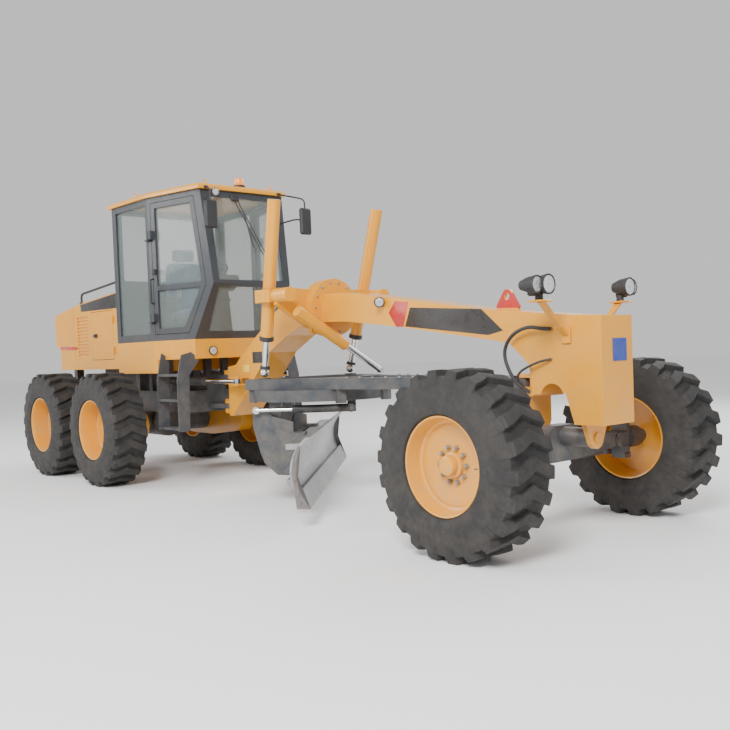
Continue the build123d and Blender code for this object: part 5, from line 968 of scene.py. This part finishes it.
def make_stage():
    """Pale floor, soft studio light and the camera at the photograph's angle."""
    yaw, pitch, roll = (math.radians(v) for v in (CAMERA_YAW, CAMERA_PITCH, CAMERA_ROLL))
    ahead = Vector((-math.sin(yaw) * math.cos(pitch), math.cos(yaw) * math.cos(pitch),
                    math.sin(pitch)))
    right = Vector((math.cos(yaw), math.sin(yaw), 0.0))
    up = right.cross(ahead)
    rolled_right = right * math.cos(roll) + up * math.sin(roll)
    rolled_up = up * math.cos(roll) - right * math.sin(roll)
    data = bpy.data.cameras.new("photo_camera")
    data.lens, data.sensor_width = CAMERA_LENS, 36.0
    data.shift_x, data.shift_y = CAMERA_SHIFT
    data.clip_end = 200.0
    camera = bpy.data.objects.new("photo_camera", data)
    turn = Matrix((rolled_right, rolled_up, -ahead)).transposed().to_4x4()
    camera.matrix_world = Matrix.Translation(CAMERA_PLACE) @ turn
    bpy.context.scene.collection.objects.link(camera)
    bpy.context.scene.camera = camera
    half_floor, floor_z = 60.0, -0.001
    mesh = bpy.data.meshes.new("floor")
    mesh.from_pydata([(x * half_floor, y * half_floor, floor_z)
                      for x, y in ((-1, -1), (1, -1), (1, 1), (-1, 1))], [], [(0, 1, 2, 3)])
    floor_finish = bpy.data.materials.new("floor_finish")
    floor_finish.use_nodes = True
    floor_shader = floor_finish.node_tree.nodes["Principled BSDF"]
    floor_shader.inputs["Base Color"].default_value = (0.93, 0.93, 0.93, 1)
    floor_shader.inputs["Roughness"].default_value = 0.9
    mesh.materials.append(floor_finish)
    floor = bpy.data.objects.new("floor", mesh)
    bpy.context.scene.collection.objects.link(floor)
    for name, place, aim, width, power in (
            ("key_light", (9.0, -10.0, 9.5), (0, 0, 1.2), 5.0, 2600.0),
            ("fill_light", (-8.0, -9.0, 7.0), (-1, 0, 1.4), 8.0, 800.0),
            ("back_light", (0.0, 10.0, 9.0), (0, 0, 1.5), 9.0, 900.0)):
        lamp_data = bpy.data.lights.new(name, "AREA")
        lamp_data.shape, lamp_data.size, lamp_data.energy = "DISK", width, power
        light = bpy.data.objects.new(name, lamp_data)
        light.location = place
        light.rotation_euler = (Vector(aim) - Vector(place)).to_track_quat("-Z", "Y").to_euler()
        bpy.context.scene.collection.objects.link(light)
    world = bpy.data.worlds.new("studio")
    world.use_nodes = True
    world.node_tree.nodes["Background"].inputs["Color"].default_value = (1.0, 1.0, 1.0, 1)
    world.node_tree.nodes["Background"].inputs["Strength"].default_value = 0.75
    bpy.context.scene.world = world


# Operators and panel

class MakeFinishes(bpy.types.Operator):
    """Makes the finishes and puts one on every CAD node"""
    bl_idname = "grader.make_finishes"
    bl_label = "Finishes"

    def execute(self, context):
        make_finishes()
        dress_nodes()
        return {"FINISHED"}


class MakeStage(bpy.types.Operator):
    """Makes the floor, the lights and the camera"""
    bl_idname = "grader.make_stage"
    bl_label = "Stage"

    def execute(self, context):
        make_stage()
        return {"FINISHED"}


class MakeTyres(bpy.types.Operator):
    """Makes the six tyres"""
    bl_idname = "grader.make_tyres"
    bl_label = "Tyres"

    def execute(self, context):
        make_tyres()
        return {"FINISHED"}


class MakeRims(bpy.types.Operator):
    """Makes the six rims with their nuts"""
    bl_idname = "grader.make_rims"
    bl_label = "Rims"

    def execute(self, context):
        make_rims()
        return {"FINISHED"}


class MakeBladeTrim(bpy.types.Operator):
    """Makes the blade's bolts and end plates"""
    bl_idname = "grader.make_blade_trim"
    bl_label = "Blade trim"

    def execute(self, context):
        make_blade_trim()
        return {"FINISHED"}


class MakeLamps(bpy.types.Operator):
    """Makes the headlamps, the skirt's lamp and the beacon"""
    bl_idname = "grader.make_lamps"
    bl_label = "Lamps"

    def execute(self, context):
        make_lamps()
        return {"FINISHED"}


class MakeHoodTrim(bpy.types.Operator):
    """Makes the band, strips, latches and rails of the hood"""
    bl_idname = "grader.make_hood_trim"
    bl_label = "Hood trim"

    def execute(self, context):
        make_hood_trim()
        return {"FINISHED"}


class MakeDecals(bpy.types.Operator):
    """Makes the blank badge, the chevron and the blank labels"""
    bl_idname = "grader.make_decals"
    bl_label = "Blank decals"

    def execute(self, context):
        make_decals()
        return {"FINISHED"}


class MakeCabTrim(bpy.types.Operator):
    """Makes the cab's mirrors, door handles, wipers, roof eyes and roof lamp"""
    bl_idname = "grader.make_cab_trim"
    bl_label = "Cab trim"

    def execute(self, context):
        make_cab_trim()
        return {"FINISHED"}


class MakeBeamTrim(bpy.types.Operator):
    """Makes the lifting eye's paint, the drum's bolts and the beam's lamp"""
    bl_idname = "grader.make_beam_trim"
    bl_label = "Beam trim"

    def execute(self, context):
        make_beam_trim()
        return {"FINISHED"}


class MakeHoses(bpy.types.Operator):
    """Makes the hydraulic hoses"""
    bl_idname = "grader.make_hoses"
    bl_label = "Hoses"

    def execute(self, context):
        make_hoses()
        return {"FINISHED"}


class MakeSeat(bpy.types.Operator):
    """Makes the operator's seat, its station and its levers"""
    bl_idname = "grader.make_seat"
    bl_label = "Seat"

    def execute(self, context):
        make_seat()
        return {"FINISHED"}


class MakeCylinderTrim(bpy.types.Operator):
    """Makes the glands and rod collars of the lift cylinders"""
    bl_idname = "grader.make_cylinder_trim"
    bl_label = "Cylinder trim"

    def execute(self, context):
        make_cylinder_trim()
        return {"FINISHED"}


class MakeFasteners(bpy.types.Operator):
    """Makes the rows of bolts"""
    bl_idname = "grader.make_fasteners"
    bl_label = "Fasteners"

    def execute(self, context):
        make_fasteners()
        return {"FINISHED"}


OPERATORS = (MakeStage, MakeFinishes, MakeTyres, MakeRims, MakeBladeTrim, MakeLamps,
             MakeHoodTrim, MakeDecals, MakeCabTrim, MakeBeamTrim, MakeHoses, MakeSeat,
             MakeCylinderTrim, MakeFasteners)


class GraderPanel(bpy.types.Panel):
    """Lists the dressing's sizes, colours and pieces"""
    bl_label = "Grader dressing"
    bl_idname = "VIEW3D_PT_grader"
    bl_space_type = "VIEW_3D"
    bl_region_type = "UI"
    bl_category = "Grader"

    def draw(self, context):
        layout = self.layout
        for group in (context.scene.grader_sizes, context.scene.grader_colours):
            for key in group.__annotations__:
                layout.prop(group, key)
        for kind in OPERATORS:
            layout.operator(kind.bl_idname)


CLASSES = (GraderSizes, GraderColours) + OPERATORS + (GraderPanel,)


def register():
    """Registers the classes and hangs the user's settings on the scene."""
    for kind in CLASSES:
        bpy.utils.register_class(kind)
    bpy.types.Scene.grader_sizes = bpy.props.PointerProperty(type=GraderSizes)
    bpy.types.Scene.grader_colours = bpy.props.PointerProperty(type=GraderColours)


def unregister():
    """Takes the settings and the classes away again."""
    del bpy.types.Scene.grader_colours
    del bpy.types.Scene.grader_sizes
    for kind in reversed(CLASSES):
        bpy.utils.unregister_class(kind)


def main():
    """Registers the add-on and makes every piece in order."""
    register()
    bpy.ops.grader.make_stage()
    bpy.ops.grader.make_finishes()
    bpy.ops.grader.make_tyres()
    bpy.ops.grader.make_rims()
    bpy.ops.grader.make_blade_trim()
    bpy.ops.grader.make_lamps()
    bpy.ops.grader.make_hood_trim()
    bpy.ops.grader.make_decals()
    bpy.ops.grader.make_cab_trim()
    bpy.ops.grader.make_beam_trim()
    bpy.ops.grader.make_hoses()
    bpy.ops.grader.make_seat()
    bpy.ops.grader.make_cylinder_trim()
    bpy.ops.grader.make_fasteners()


if __name__ == "__main__":
    main()
